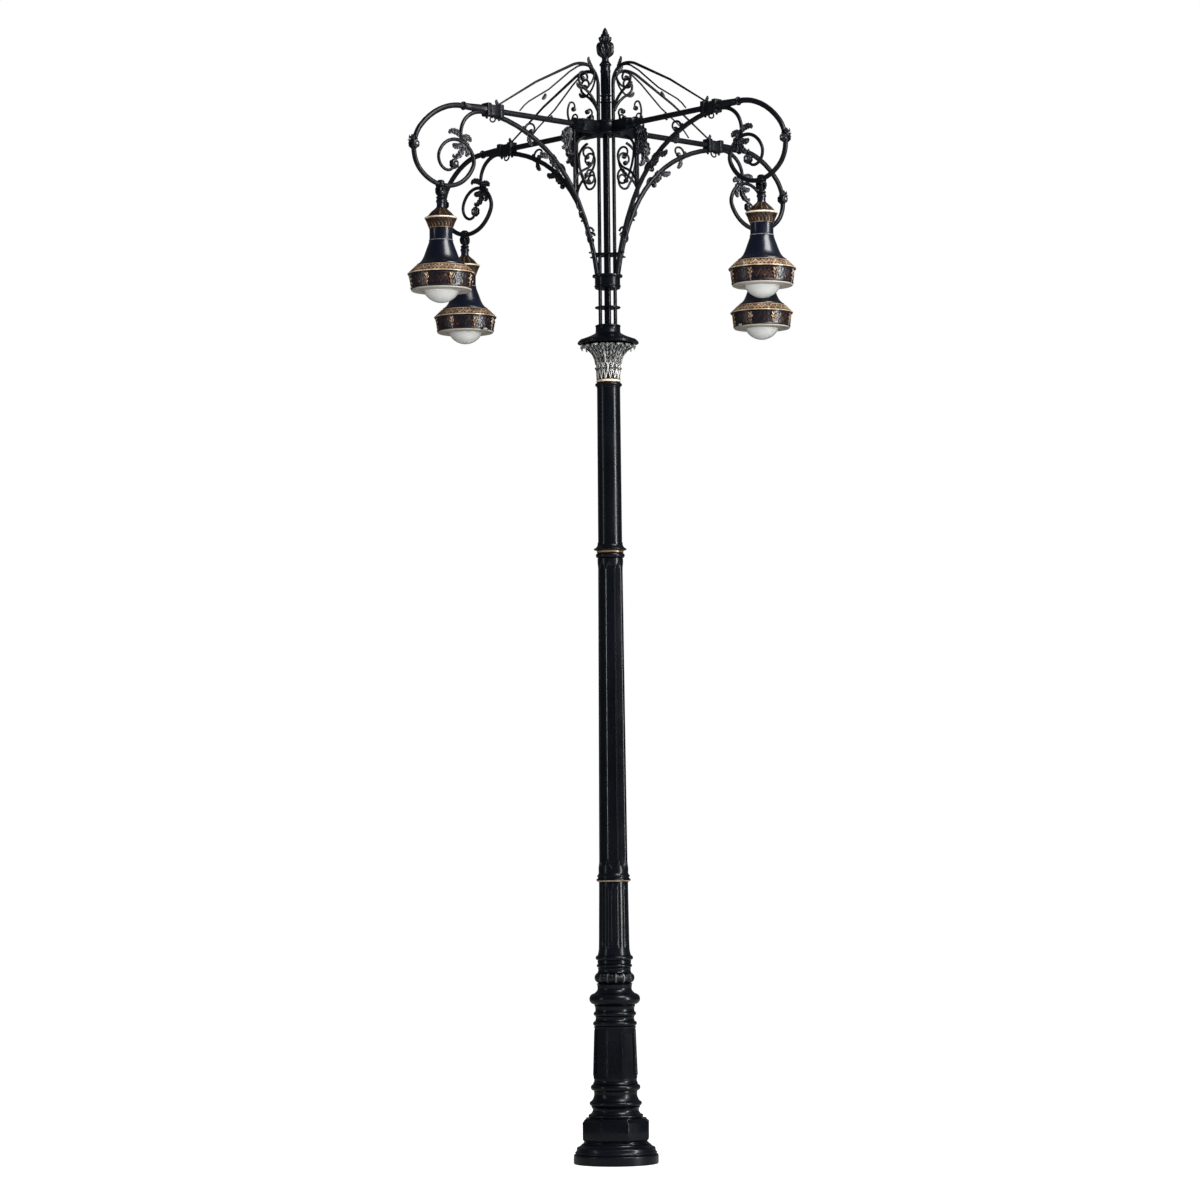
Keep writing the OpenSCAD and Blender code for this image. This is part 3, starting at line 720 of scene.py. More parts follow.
def pedestal():
    """Lower mouldings and the tapering octagonal pedestal: a sunk panel in every face but the back one,
    which has the door opening and its hinge lugs, and a pair of beads at each arris."""
    z = PLINTH_TOP
    outline = [(134, z), (134, z + 2)] + bead(z + 12, 143.5, 19) + [(132, z + 23), (128, z + 25)]
    outline += cove(128, z + 27, 129, z + 60, 8) + bead(z + 77, 137, 26) + [(125, z + 92)]
    outline += cove(123, z + 94, 114, z + 138, 5) + bead(z + 160, 130, 34) + [(118, z + 180)]
    outline += cove(117, z + 183, 112, z + 200, 2) + [(112, PEDESTAL_FOOT + 8)]
    mouldings = turned("pedestal_mouldings", outline, "iron_enamel", bore=CAVITY_R)
    case = prism("pedestal_case", [(PEDESTAL_FOOT, PEDESTAL_W), (PEDESTAL_TOP, PEDESTAL_TOP_W)], "iron_enamel",
                 bevel=0)
    for low, high, radius in ((PEDESTAL_FOOT - 10, PEDESTAL_TOP - 13, CAVITY_R),
                              (PEDESTAL_FOOT, PEDESTAL_TOP + 10, LOWER_BORE)):
        cut(case, cylinder("hollow", (0, 0, low), (0, 0, high), radius, radius, "iron_enamel", 64))
    back = door_place()
    for k in range(8):
        face = turned_about("Z", 45 * k) @ back
        if k:
            cut(case, block("sinking", (-3.5, -31, -104), (20, 31, 104), "iron_enamel", 0, face))
    cut(case, block("opening", (-60, -28, -95), (20, 32, 95), "iron_enamel", 0, back))
    modified(case, "BEVEL", width=1.8 * MM, segments=3, limit_method="ANGLE", angle_limit=math.radians(25))
    parts = [mouldings, case]
    corner = 1 / math.cos(math.radians(22.5)) / 2
    bead_r, bead_sink, bead_turn = 2.6, 2.2, 0.042
    ends = (((PEDESTAL_W + 1) * corner - bead_sink, PEDESTAL_FOOT + 14),
            ((PEDESTAL_TOP_W + 1) * corner - bead_sink, PEDESTAL_TOP - 8))
    for k in range(8):
        for turn in (-bead_turn, bead_turn):
            a = math.radians(22.5 + 45 * k) + turn
            low, high = ((r * math.cos(a), r * math.sin(a), z) for r, z in ends)
            parts.append(cylinder("arris_bead", low, high, bead_r, bead_r, "iron_enamel", 12))
    for z in (-70, 70):
        for side in (-1, 1):
            low = z + side * 15 - 4
            parts.append(placed(turned("lug", [(5, low), (5, low + 8)], "iron_enamel", bore=2.5, sides=32),
                                back @ shifted(6, -40, 0)))
            parts.append(block("lug_web", (-4, -44, low), (3.6, -40, low + 8), "iron_enamel", 0.8, back))
    show_iron(smooth(joined("pedestal_casting", parts), 30), "pedestal")


def access_door():
    """Raised frame moulding and grip edge on the plain CAD door."""
    back = door_place()
    rim = []
    for low, high in (((6.4, -29, -99), (9.5, -24, 99)), ((6.4, 28, -99), (9.5, 33, 99)),
                      ((6.4, -29, -99), (9.5, 33, -94)), ((6.4, -29, 94), (9.5, 33, 99))):
        rim.append(block("rim", low, high, "iron_enamel", 1.2, back))
    show(joined("door_rim", rim), "door", "iron_enamel")


# ---- Shaft ----

def gadroon_ring():
    """Wreath of overlapping leaves round the bead of the upper moulding."""
    wreath = ornament_band("moulding_wreath", arc(78, 966, 23.5, -78, 78, 12), 14, 5.5, leaf_pattern, "leaf_pewter",
                           rows=14, per_motif=14, back=2.0)
    show(wreath, "root", "leaf_pewter")


def upper_moulding():
    """Turned rings and the big swelling above the pedestal."""
    z = PEDESTAL_TOP
    outline = [(109, z), (110, z + 8)] + bead(728, 115, 26) + [(104, 744)] + cove(103, 746, 103, 764, 3)
    outline += bead(779, 111.5, 24) + cove(103, 792, 105, 818, 2) + [(108, 820)] + bead(856, 133, 58, 16)
    outline += [(106, 886), (101, 890)] + cove(98, 893, 90, 918, 4) + [(91, 930), (95, 934)]
    outline += bead(966, 101, 46, 14) + [(90, 994)] + cove(88, 996, 86.5, 1014, 2) + bead(1029, 93, 18)
    outline += [(88, 1041), (88, 1054)] + bead(1070, 98.6, 24) + [(90, MOULDING_TOP)]
    show_iron(turned("upper_moulding_rings", outline, "iron_enamel", bore=LOWER_BORE), "upper_moulding")


def fluted(z0, z1, count, depth, width_share):
    """A radius rule that sinks round-ended flutes between two heights."""
    def shape(r, a, z):
        pitch = 2 * math.pi / count
        off = abs((a + pitch / 2) % pitch - pitch / 2) / (pitch / 2 * width_share)
        end = max(0.0, min(1.0, min(z - z0, z1 - z) / 45))
        limit = math.sqrt(max(0.0, 1 - (1 - end) ** 2))
        if limit <= 0 or off >= limit:
            return r
        return r - depth * math.sqrt(max(0.0, 1 - (off / limit) ** 2)) * min(1, limit + 0.2)
    return shape


def shaft_rows(z0, z1, r0, r1, end=50, fine=8):
    """Rows of a tapering shaft, close together where flutes begin and end."""
    heights = [z0 + end * k / fine for k in range(fine)]
    heights += [z0 + end + (z1 - z0 - 2 * end) * k / 12 for k in range(13)]
    heights += [z1 - end + end * (k + 1) / fine for k in range(fine)]
    return [(r0 + (r1 - r0) * (z - z0) / (z1 - z0), z) for z in heights]


def lower_shaft():
    """Short lower drum with sixteen shallow flutes under its double ring."""
    outline = [(87, MOULDING_TOP), (84, MOULDING_TOP + 12), (81.5, 1110)] + shaft_rows(1118, 1462, 80.5, 76.3)
    drum = turned("lower_drum", outline + [(76.3, 1468)], "iron_enamel", bore=LOWER_BORE, sides=192,
                  shape=fluted(1124, 1456, 16, 3.2, 0.62), angle=24)
    ring = [(76.3, 1466), (83, 1468)] + bead(1477, 90, 15) + [(83, 1486), (82, 1490)] + bead(1497, 86.6, 10)
    ring += cove(82, 1503, 77, FLUTED_FOOT, 1)
    rings = turned("lower_ring", ring, "iron_enamel", bore=LOWER_BORE)
    show_iron(joined("lower_shaft_casting", [drum, rings]), "lower_shaft")
    show_gilt("lower_gilt_line", [(86, 1469.5), (88.4, 1471.2), (88.9, 1473.2), (86, 1474)], 80, 0.75)


def fluted_shaft():
    """Eight wide flutes with sharp arrises, and the middle ring above them."""
    foot_z, head_z = FLUTED_FOOT, 3165
    outline = [(78, foot_z)] + shaft_rows(foot_z + 12, head_z - 12, 78, 67.5, 60, 10) + [(67.5, head_z)]
    shaft = turned("fluted_column", outline, "iron_enamel", bore=FLUTED_BORE, sides=256,
                   shape=fluted(foot_z + 22, head_z - 22, 8, 7.5, 0.86), angle=24)
    ring = [(67, head_z)] + bead(3182, 76.6, 26) + [(68, 3196)]
    lower = turned("middle_ring", ring, "iron_enamel", bore=FLUTED_BORE)
    top = [(69, 3207)] + bead(3215, 86.5, 9) + cove(80, 3220, 66.6, 3244, 4) + [(66.6, UPPER_FOOT)]
    upper = turned("middle_flange", top, "iron_enamel", bore=FLUTED_BORE)
    show_iron(joined("fluted_shaft_casting", [shaft, lower, upper]), "fluted_shaft")
    show_gilt("middle_gilt_band", [(66, 3196), (70.5, 3197.5), (70.5, 3205.5), (66, 3207)], 60, 0.5)


def upper_shaft():
    """Plain tapering upper shaft with its neck ring."""
    z = CAPITAL_Z
    outline = [(63.3, UPPER_FOOT), (61.3, z - 42), (64, z - 38)] + bead(z - 26, 71.6, 15)
    outline += [(64, z - 17), (62, z - 14), (62, z - 2)]
    show_iron(turned("upper_shaft_tube", outline, "iron_enamel", bore=UPPER_BORE), "upper_shaft")
    show_gilt("neck_gilt_band", [(61, z - 14)] + bead(z - 7, 65, 11, 6) + [(61, z)], 50, 0.9)


# ---- Capital, stage and hub ----

def capital():
    """Dark bell of the capital wrapped in silvered strands, under rings of curling acanthus."""
    z = CAPITAL_Z
    core = [(50, z), (50, z + 110), (58, z + 148), (74, z + 168), (98, z + 182), (130, z + 189),
            (CAPITAL_R - 2, z + 192), (CAPITAL_R, z + 194), (CAPITAL_R, z + 198), (CAPITAL_R - 2, CAPITAL_TOP)]
    show(turned("capital_bell", core, "iron_enamel", bore=UPPER_BORE), "root", "pewter", "capital")
    wrap = [(58.5, z + 3), (58.5, z + 90), (61, z + 122), (68, z + 148), (84, z + 167), (108, z + 180),
            (138, z + 187)]
    strands = ornament_band("capital_strands", wrap, 16, 7.0, lattice_pattern, "pewter", rows=60, per_motif=14,
                            back=6.0)
    show(strands, "root", "pewter")
    low = pen_path((62, z + 3), 90, [(0, 36), (40, -26), (8, -60)], 12)
    middle = pen_path((62, z + 44), 89, [(0, 42), (60, -24), (9, -70)], 9)
    top = pen_path((66, z + 90), 84, [(104, -50), (0, 22), (10, -130)], 8)
    tiers = ((low, 34, 5, 12, 0.0, "low"), (middle, 36, 5, 12, 15.0, "middle"), (top, 44, 6, 8, 0.0, "top"),
             (pen_path((68, z + 88), 82, [(112, -50), (0, 22), (9, -130)], 8), 34, 5, 8, 22.5, "corner"))
    for spine, width, lobes, count, start, label in tiers:
        blade = leaf(f"capital_leaves_{label}", spine, width, lobes, 3.5, 0.1, 0.25, "pewter", 36, peak=1.3)
        show(ring_of(blade, count, "pewter", math.radians(start)), "root", "pewter")
    volute = pen_path((66, z + 84 - BEAM_Z), 86, [(118, -46), (42, -44), (7, -170)], 14)
    curls = bars("capital_volutes", [(volute, 5.5, 3.5)], "pewter", 10)
    curls = ring_of(placed(curls, turned_about("Z", 11.25)), 16, "pewter")
    store(curls.data, "relief", [0.7] * len(curls.data.vertices))
    show(curls, "root", "pewter")


def stage_collar():
    """Cap over the capital and the collar that holds the stage bars."""
    z = CAPITAL_TOP
    outline = [(CAPITAL_R - 4, z), (CAPITAL_R - 4, z + 4), (CAPITAL_R - 12, z + 11)]
    outline += cove(148, z + 13, 70, z + 46, 6) + [(66, z + 52), (65, z + 78)]
    outline += bead(COLLAR_TOP - 7, 67.5, 12) + [(60, COLLAR_TOP)]
    show_iron(turned("stage_cap", outline, "iron_enamel", bore=PIPE_R), "stage_collar")


def stage_band():
    """Band, thin ring and four-eared spacer round the stage bars."""
    z = CAPITAL_Z + 485
    outline = [(64, z), (67, z + 2), (67, z + 8)] + bead(z + 14, 71, 10, 6)
    outline += [(67, z + 20), (67, z + 58), (72, z + 61), (78, z + 62), (80, z + 64), (80, z + 71), (78, z + 74)]
    parts = [turned("band", outline, "iron_enamel", bore=BAND_BORE)]
    thin, spacer = CAPITAL_Z + 385, CAPITAL_Z + 667
    for name, mid in (("thin_ring", thin), ("spacer", spacer)):
        ring = [(66, mid - 4), (68, mid - 2), (68, mid + 2), (66, mid + 4)]
        parts.append(turned(name, ring, "iron_enamel", bore=BAND_BORE))
    for i in ARMS:
        parts.append(block("ear", (60, -7, spacer - 4), (128, 7, spacer + 4), "iron_enamel", 1.5, in_arm(i)))
    show_iron(joined("stage_band_rings", parts), "stage_band")


def hub():
    """Cross casting: a drum and four box arms ending in round sockets with leaf collars."""
    z = BEAM_Z
    outline = [(60, z - 39), (72, z - 38)] + bead(z - 30, 79, 12, 6) + [(74, z - 22), (74, z + 22)]
    outline += bead(z + 30, 79, 12, 6) + [(72, z + 38), (60, z + 39)]
    parts = [turned("hub_drum", outline, "iron_enamel", bore=PIPE_R)]
    rim = [(24, 0), (34, 3), (34, 14), (29, 18), (29, 42), (33, 46), (33, 56), (26, 60), (20, 66)]
    for i in ARMS:
        parts.append(block("hub_arm", (50, -24, z - 34), (190, 24, z + 34), "iron_enamel", 7, in_arm(i)))
        socket = turned("socket", rim, "iron_enamel", bore=15.2, sides=48)
        lay = shifted(178, 0, z) @ turned_about("Y", 90)
        parts.append(placed(socket, in_arm(i) @ lay))
    show_iron(joined("hub_casting", parts), "hub")


def centre_pipe():
    """Centre pipe with its ringed upper sleeve."""
    z = BEAM_Z
    lower = turned("lower_pipe", [(PIPE_R, CAPITAL_TOP), (PIPE_R, z - 25)], "iron_enamel", bore=12, sides=48)
    sleeve = [(30, z + 38), (30, z + 46), (26, z + 50), (26, z + 132)] + bead(z + 142, 29.5, 14, 6)
    sleeve += [(26.5, z + 156)] + bead(z + 177, 29.5, 12, 6) + [(26, z + 190), (26, z + 300), (28, z + 304)]
    sleeve += [(28, z + 310), (26, z + 314), (26, FINIAL_Z)]
    upper = turned("upper_pipe", sleeve, "iron_enamel", bore=12, sides=64)
    show_iron(joined("centre_pipe_tube", [lower, upper]), "centre_pipe")


def finial():
    """Bud finial: a turned stem and bud wrapped in eight petals, with two leafy tiers to the tip."""
    z = FINIAL_Z
    outline = [(27, z)] + bead(z + 8, 32.5, 14, 8) + [(27, z + 17)] + cove(25, z + 19, 20, z + 46, 4)
    outline += [(22, z + 50), (30, z + 60), (40, z + 76), (45, z + 94), (42, z + 112), (34, z + 126), (26, z + 134)]
    outline += bead(z + 148, 31, 12, 6) + [(22, z + 156), (21, z + 160)] + bead(z + 168, 23, 10, 6)
    outline += [(16, z + 176), (14, z + 186), (11, z + 194), (5, POST_TOP - 6), (0, POST_TOP)]
    show_iron(turned("finial_bud", outline, "iron_enamel", sides=64), "finial")
    bud = pen_path((22, z + 50), 40, [(58, 48), (44, 50), (30, 30)], 10)
    crown = pen_path((24, z + 132), 40, [(22, 50), (14, 40)], 12)
    for spine, width, count, label in ((bud, 42, 8, "petals"), (crown, 20, 8, "crown")):
        blade = leaf(f"finial_{label}", spine, width, 2, 2.5, -0.2, 0.2, "leaf_pewter", 20, 6)
        show(ring_of(blade, count, "leaf_pewter"), "root", "iron_enamel")


# ---- Arms ----

HOOK = [(330, -20), (400, -29), (190, -43), (145, -47), (235, -60), (200, -45)]
INNER = [(65, -43), (120, -66), (125, -72), (65, -103), (45, -70)]
RIB = [(865, 25), (735, 32), (1145, 20)]
CURL = [(0, 20), (160, -39), (125, -62)]


def along(start, heading, moves):
    """Where a path ends, and its heading there."""
    turned_by = sum(a for r, a in moves if r)
    return pen_path(start, heading, moves)[-1], heading + turned_by


def stage_bars():
    """Four stage bars bent over at the top and drawn out into the tie rods."""
    foot_z = COLLAR_TOP - 30 - BEAM_Z
    bend = [(0, 235 - foot_z), (95, -86)]
    head, way = along((STAGE_BAR_U, foot_z), 90, bend)
    rod = [(190, -27), (3350, -10), (0, 16)]
    piece = bars("stage_and_tie_bars", [(pen_path((STAGE_BAR_U, foot_z), 90, bend), 8.5, 8.2),
                                        (pen_path(head, way, rod), 8.2, 4.6)])
    show_iron(ring_of(piece, 4, "wrought_enamel"), "stage_bars")


def beam(i):
    """Beam of arm i: round bar, leaf-wrapped sleeve, big hook with its knot, and the inner scroll."""
    hook_start = (REACH - 148, 0)
    inner_start, way = along(hook_start, 0, HOOK)
    piece = bars(f"beam_bar_{i}", [([(170, 0), (REACH - 300, 0)], 15, 15),
                                   (pen_path(hook_start, 0, HOOK), 14.5, 11.5),
                                   (pen_path(inner_start, way, INNER), 11, 7.5)], sides=18)
    sleeve = turned("sleeve", [(15, 0), (23, 2), (24, 8), (22, 14), (21, 60), (18, 120), (17, 150), (15, 154)]
                    + bead(160, 23, 12, 8) + [(15, 168)], "wrought_enamel", sides=40)
    lay = shifted(REACH - 318, 0, BEAM_Z) @ turned_about("Y", 90)
    knot = turned("knot", bead(-22, 19, 9, 6) + [(14, -16)] + bead(0, 23, 20, 10) + [(14, 16)] + bead(22, 19, 9, 6),
                  "wrought_enamel", sides=40)
    at_knot = shifted(REACH + 181, 0, BEAM_Z - 222) @ turned_about("Y", 8)
    boss = turned("boss", [(14, -443), (22, -442), (26, -438)] + bead(-430, 27, 12, 6)
                  + [(21, -422), (20, -408), (12, -402)], "wrought_enamel", sides=40)
    at_boss = shifted(REACH, 0, BEAM_Z)
    tuft = leaf("tuft", pen_path((15, -34), 70, [(60, 20), (5, -120)], 10), 18, 2, 3, 0.1, 0.2, rows=16, across=5)
    tufts = joined("tufts", [tuft, copied(tuft, "down", turned_about("X", 180))])
    tufts = ring_of(tufts, 4, "wrought_enamel", math.radians(45))
    parts = [piece, placed(sleeve, lay), placed(knot, at_knot), placed(tufts, at_knot), placed(boss, at_boss)]
    show_iron(placed(joined(f"beam_and_hook_{i}", parts), in_arm(i)), f"beam_{i}")


def arch_rib(i):
    """Arch rib of arm i, with its curl past the clamp."""
    start = (850, -16)
    piece = bars(f"arch_rib_bar_{i}", [(pen_path(start, 184, RIB), 13.5, 12), (pen_path(start, 0, CURL), 12, 9)],
                 sides=18)
    show_iron(placed(piece, in_arm(i)), f"arch_rib_{i}")


def arm_clamps():
    """Clamp castings that bind beam, rib and tie rod, with wrapped bands and small drops."""
    z = BEAM_Z
    low = REACH - 415
    parts = []
    for mid, drop in ((low + 15, 38), (low + 99, 35)):
        parts.append(block("clamp_band", (mid - 15, -27, z - drop), (mid + 15, 27, z + 34), "wrought_enamel", 6))
        parts.append(cylinder("rivet", (mid, -30, z + 2), (mid, 30, z + 2), 6, 6, "wrought_enamel", 20))
        parts.append(cylinder("drop", (mid, 0, z - drop - 12), (mid, 0, z - drop + 4), 5, 10, "wrought_enamel", 20))
    parts.append(block("clamp_body", (low + 20, -22, z - 33), (low + 96, 22, z + 28), "wrought_enamel", 8))
    curl = pen_path((low + 40, -34), -100, [(22, 120), (11, 200)], 14)
    parts.append(bars("clamp_curl", [(curl, 5, 3.5)], sides=10))
    show_iron(ring_of(joined("clamps", parts), 4, "wrought_enamel"), "arm_clamps")


SCROLLS = (
    # Heart scroll that springs from the stage bar
    ((62, 105), 64, ((210, -37), (100, 20), (40, 93), (30, 116), (18, 160)), 8.5, 5.5),
    # Long curl from the heart over the top and down to the beam
    ((160, 195), 163, ((115, -57), (35, -87), (120, -47), (590, -13), (910, 15), (310, -24)), 5.5, 4.0),
    # Hearts between the hub and the arch rib
    ((148, -60), -14, ((105, -33), (60, -47), (300, -33), (30, -28), (40, -152), (26, -150)), 7.5, 5.5),
    ((231, -315), 107, ((120, 40), (230, 11), (85, -61), (40, -142), (24, -140)), 7.5, 5.5),
    # Small curls on the rib and over the hub
    ((96, -560), 70, ((28, -200), (14, -120)), 6.5, 4.5),
    ((262, 10), 60, ((90, 62), (20, 200)), 6.5, 4.5),
    ((112, 10), 84, ((95, 34), (17, -205)), 6.5, 4.5),
    # Curl under the beam, beyond the heart, and its mate lower on the rib
    ((575, -84), 80, ((40, 120), (20, 170)), 6.5, 5.0),
    ((300, -272), 110, ((34, -150), (18, -120)), 6.0, 4.5),
)


def scroll_work():
    """Forged scrolls that fill the brackets, each ending in a button eye, and the strut under the hub."""
    paths = [([(230, -10), (230, -345)], 8, 7)]
    eyes = []
    for k, (start, way, moves, r0, r1) in enumerate(SCROLLS):
        path = pen_path(start, way, moves, 8)
        paths.append((path, r0, r1))
        if k != 1:
            u, z = path[-1]
            eyes += both_faces(lambda label: rosette(label, 13, 9), f"eye_{k}", u, z, 2)
    show_iron(ring_of(bars("scrolls", paths, sides=12), 4, "wrought_enamel"), "scroll_work")
    show(ring_of(joined("scroll_eyes", eyes), 4, "leaf_pewter"), "root", "leaf_pewter")


def spray(name, u, z, blades, width):
    """Cluster of in-plane leaves springing from one point of a bracket, as (heading, length, bend)."""
    parts = []
    for k, (heading, length, bend) in enumerate(blades):
        body = (length / math.radians(abs(bend)), bend)
        curl = (length * 0.1, math.copysign(130, bend))
        spine = pen_path((u, z + BEAM_Z), heading, [body, curl], 9)
        for roll in (62, 118):
            parts.append(leaf(f"{name}_{k}_{roll}", spine, width, 5, 4, 0.25, 0.5, across=6, peak=0.9, roll=roll))
    return parts


SPRAYS = (
    # Leaves where the rib's curl meets the hook's inner scroll
    ("junction", 1012, -168, ((-152, 96, 70), (56, 84, -70), (152, 60, 60)), 34),
    # Acanthus under the inner scroll
    ("under_scroll", 1010, -192, ((-108, 104, 95), (-62, 60, 80)), 34),
    # Clusters along the arch rib
    ("rib", 396, -184, ((-92, 78, -70), (-34, 66, 60), (205, 60, 60)), 34),
    ("rib_curl", 545, -98, ((-70, 54, -70), (10, 54, 60)), 26),
    ("rib_low", 205, -408, ((-70, 44, -60),), 22),
    # Tall leaves that hang under the hub's arm
    ("hub", 258, -24, ((-58, 140, -60), (-92, 118, 40), (-24, 92, -70)), 38),
    # Leaf at the bend of the stage bar, and the small drop on the long curl
    ("cane", 92, 318, ((35, 54, 40),), 20),
    ("drop", 429, 136, ((-80, 36, 40),), 20),
    # Leaf wrapped over the end of the sleeve, and one on the heart
    ("sleeve", 742, 20, ((20, 46, 50),), 20),
    ("heart", 160, 198, ((-10, 48, 60),), 20),
)


def arm_leaves():
    """Acanthus leaves and rosettes on the brackets."""
    parts = []
    for name, u, z, blades, width in SPRAYS:
        parts += spray(name, u, z, blades, width)
    for name, u, z, radius, half in (("scroll_eye", 1063, -308, 27, 3), ("hook_rosette", 1330, -236, 24, 12),
                                     ("hub_boss", 208, 0, 22, 12)):
        parts += both_faces(lambda label, r=radius: rosette(label, r, 12), name, u, z, half)
    for u, z, way in ((1004, 0, 0), (101, -668, 253), (182, -462, 244)):
        a = math.radians(way)
        base, tip = (u, 0, z + BEAM_Z), (u - 20 * math.sin(a), 0, z + BEAM_Z + 20 * math.cos(a))
        parts.append(cylinder("lug", base, tip, 9, 5, "leaf_pewter", 16))
    show(ring_of(joined("leaves", parts), 4, "leaf_pewter"), "root", "leaf_pewter", "acanthus_leaves")


PIVOT = shifted(0, 0, PIVOT_Z) @ turned_about("X", -90)


def hangers():
    """Fork under each hook: a cap, two cheeks and their round ears, which hold the pin."""
    parts = []
    for i in ARMS:
        fork = [turned("fork_cap", [(22, -447), (25, -445), (25, -441), (20, -439)], "wrought_enamel", sides=40)]
        for side in (-1, 1):
            low, high = sorted((side * 6, side * 21))
            fork.append(block("cheek", (-20, low, PIVOT_Z), (20, high, -443), "wrought_enamel", 1.5))
            ear = turned("ear", [(19, low), (21, low + 2), (21, high - 4), (17, high)], "wrought_enamel",
                         bore=6.0, sides=40)
            fork.append(placed(ear, PIVOT))
        parts += [placed(part, at_lantern(i)) for part in fork]
    show_iron(joined("hanger_fork_set", parts), "hanger_forks")


# ---- Lanterns ----

BELL_FOOT = -887.0
DRUM_FOOT = -964.0
BELL_R = 171.0
DRUM_R = 155.0
BOWL_R = 99.0
BOWL_HINGE_X = -163.0
BOWL_HINGE = shifted(BOWL_HINGE_X, 0, DRUM_FOOT) @ turned_about("X", -90)


def bell_shell(name):
    """Crown, neck and bell as one spun shell."""
    outer = [(20, -505), (23, -508)] + bead(-514, 25, 10, 6) + [(21, -521), (21, -536), (25, -546)]
    outer += cove(29, -551, 50, -568, 3) + [(54, -573), (60, -580), (66, -589), (74, -594), (78, -594), (79, -600)]
    outer += [(75, -606), (68, -626), (59.5, -646), (59, -650), (59, -705), (62, -722), (66, -734)]
    outer += [(72, -750), (80, -772), (88, -794), (97, -812), (109, -827), (124, -837), (125, -841)]
    outer += [(146, -864), (BELL_R - 4, -883), (BELL_R, BELL_FOOT + 2), (BELL_R, BELL_FOOT)]
    inner = [(BELL_R - 5, BELL_FOOT), (144, -868), (119, -842), (92, -812), (75, -772), (60, -728), (55, -700),
             (55, -694), (0, -693)]
    return turned(name, [(0, -505)] + outer + inner, "bell_enamel", sides=96, angle=28)


def tongue(name):
    """Flat eye that hangs the bell on its pin, with the knotted stem below it."""
    plate = block("plate", (-11, -5.4, -490), (11, 5.4, PIVOT_Z), "wrought_enamel", 1.0)
    pin_way = 6.05
    eye = placed(turned("eye", [(12, -5.4), (12, 5.4)], "wrought_enamel", bore=pin_way, sides=40), PIVOT)
    cut(plate, cylinder("drill", (0, -20, PIVOT_Z), (0, 20, PIVOT_Z), pin_way, pin_way, "wrought_enamel", 40))
    stem = turned("stem", [(22, -512), (24, -509), (24, -504), (20, -501), (19, -499)] + bead(-492, 24, 13, 8)
                  + [(18, -484), (14, -482)], "wrought_enamel", bore=0, sides=40)
    return joined(name, [plate, eye, stem])


def worn_leaf_pattern(u, v):
    """The leaf pattern, rubbed lower here and there."""
    return 0.7 * leaf_pattern(u, v) * (0.7 + 0.4 * math.sin(7 * v + 3 * u))


def low_leaf_pattern(u, v):
    """The leaf pattern with deeper grooves and lower crests."""
    return 0.66 * leaf_pattern(u, v) ** 1.5


def gilt_bead(name, z, radius, thick, count, depth, relief):
    """A gilt bead round a lantern, its back depth inside its face."""
    return turned(name, bead(z, radius, thick, count), "antique_gold", bore=radius - depth, relief=relief)


def gilt_bands():
    """The crown's rim, its tapering leaf band, the scrolled cone band and their beads."""
    crown = [(60.5, -648), (70, -625), (79.5, -604)]
    cone = [(BELL_R - 1, -884), (154, -869), (134, -849)]
    return joined("gilt_bands", [
        ornament_band("crown_band", crown, 22, 2.6, worn_leaf_pattern, "antique_gold", back=2.0),
        gilt_bead("crown_rim", -599, 84, 9, 8, 10, 0.86),
        gilt_bead("band_foot", -649, 62.5, 5, 6, 6.5, 0.5),
        ornament_band("cone_band", cone, 26, 2.6, scroll_pattern, "antique_gold", rows=18, per_motif=14, back=3.0),
        gilt_bead("cone_bead", -848, 134, 5, 6, 10, 0.7),
        gilt_bead("foot_bead", -885, BELL_R + 2, 5, 8, 8, 0.75)])


def crown_leaves():
    """Overlapping gilt leaves that cover the crown's dome."""
    dome = [(77, -594), (66, -588), (54, -572), (48, -566), (30, -551), (26, -546)]
    return ornament_band("crown_leaf_model", dome, 12, 3.0, low_leaf_pattern, "antique_gold", rows=18,
                         per_motif=14, back=3.0)


def neck_thread():
    """Pale worn thread between the neck and the bell."""
    return turned("neck_thread_model", bead(-713, 62.5, 4, 8), "pewter", bore=52, relief=0.66)


def drum_shell(name):
    """Drum wall with its shallow cast frieze and a rolled foot."""
    wall = [(DRUM_R, DRUM_FOOT + 8), (BELL_R - 9, BELL_FOOT - 7)]
    frieze = ornament_band("frieze", wall, 24, 2.2, scroll_pattern, "drum_enamel", rows=22, per_motif=14, back=4.0)
    roll = [(DRUM_R - 5, DRUM_FOOT), (DRUM_R + 1, DRUM_FOOT), (DRUM_R + 3, DRUM_FOOT + 3),
            (DRUM_R + 2, DRUM_FOOT + 8), (DRUM_R - 4, DRUM_FOOT + 9)]
    foot = turned("drum_foot", roll, "drum_enamel", bore=DRUM_R - 6)
    rim = [(BELL_R - 12, BELL_FOOT - 8), (BELL_R - 6, BELL_FOOT - 7), (BELL_R - 1, BELL_FOOT - 4),
           (BELL_R - 1, BELL_FOOT - 0.5)]
    head = turned("drum_head", rim, "drum_enamel", bore=BELL_R - 14)
    return joined(name, [frieze, foot, head])


def drum_ornament():
    """Eight gilt palmette straps round the drum, each with a raised rib at its foot."""
    strap = leaf("strap", [(158.5, -958), (161.5, -935), (165, -912), (169, -895)], 26, 3, 3, -0.2, 0.1,
                 "antique_gold", rows=22, across=6, peak=2.2)
    rib = leaf("strap_rib", [(159.5, -961), (161, -945), (163.5, -928)], 10, 1, 4, -0.2, 0.1,
               "antique_gold", rows=10, across=4)
    return joined("drum_ornament", [ring_of(part, 8, "antique_gold", math.radians(22.5)) for part in (strap, rib)])


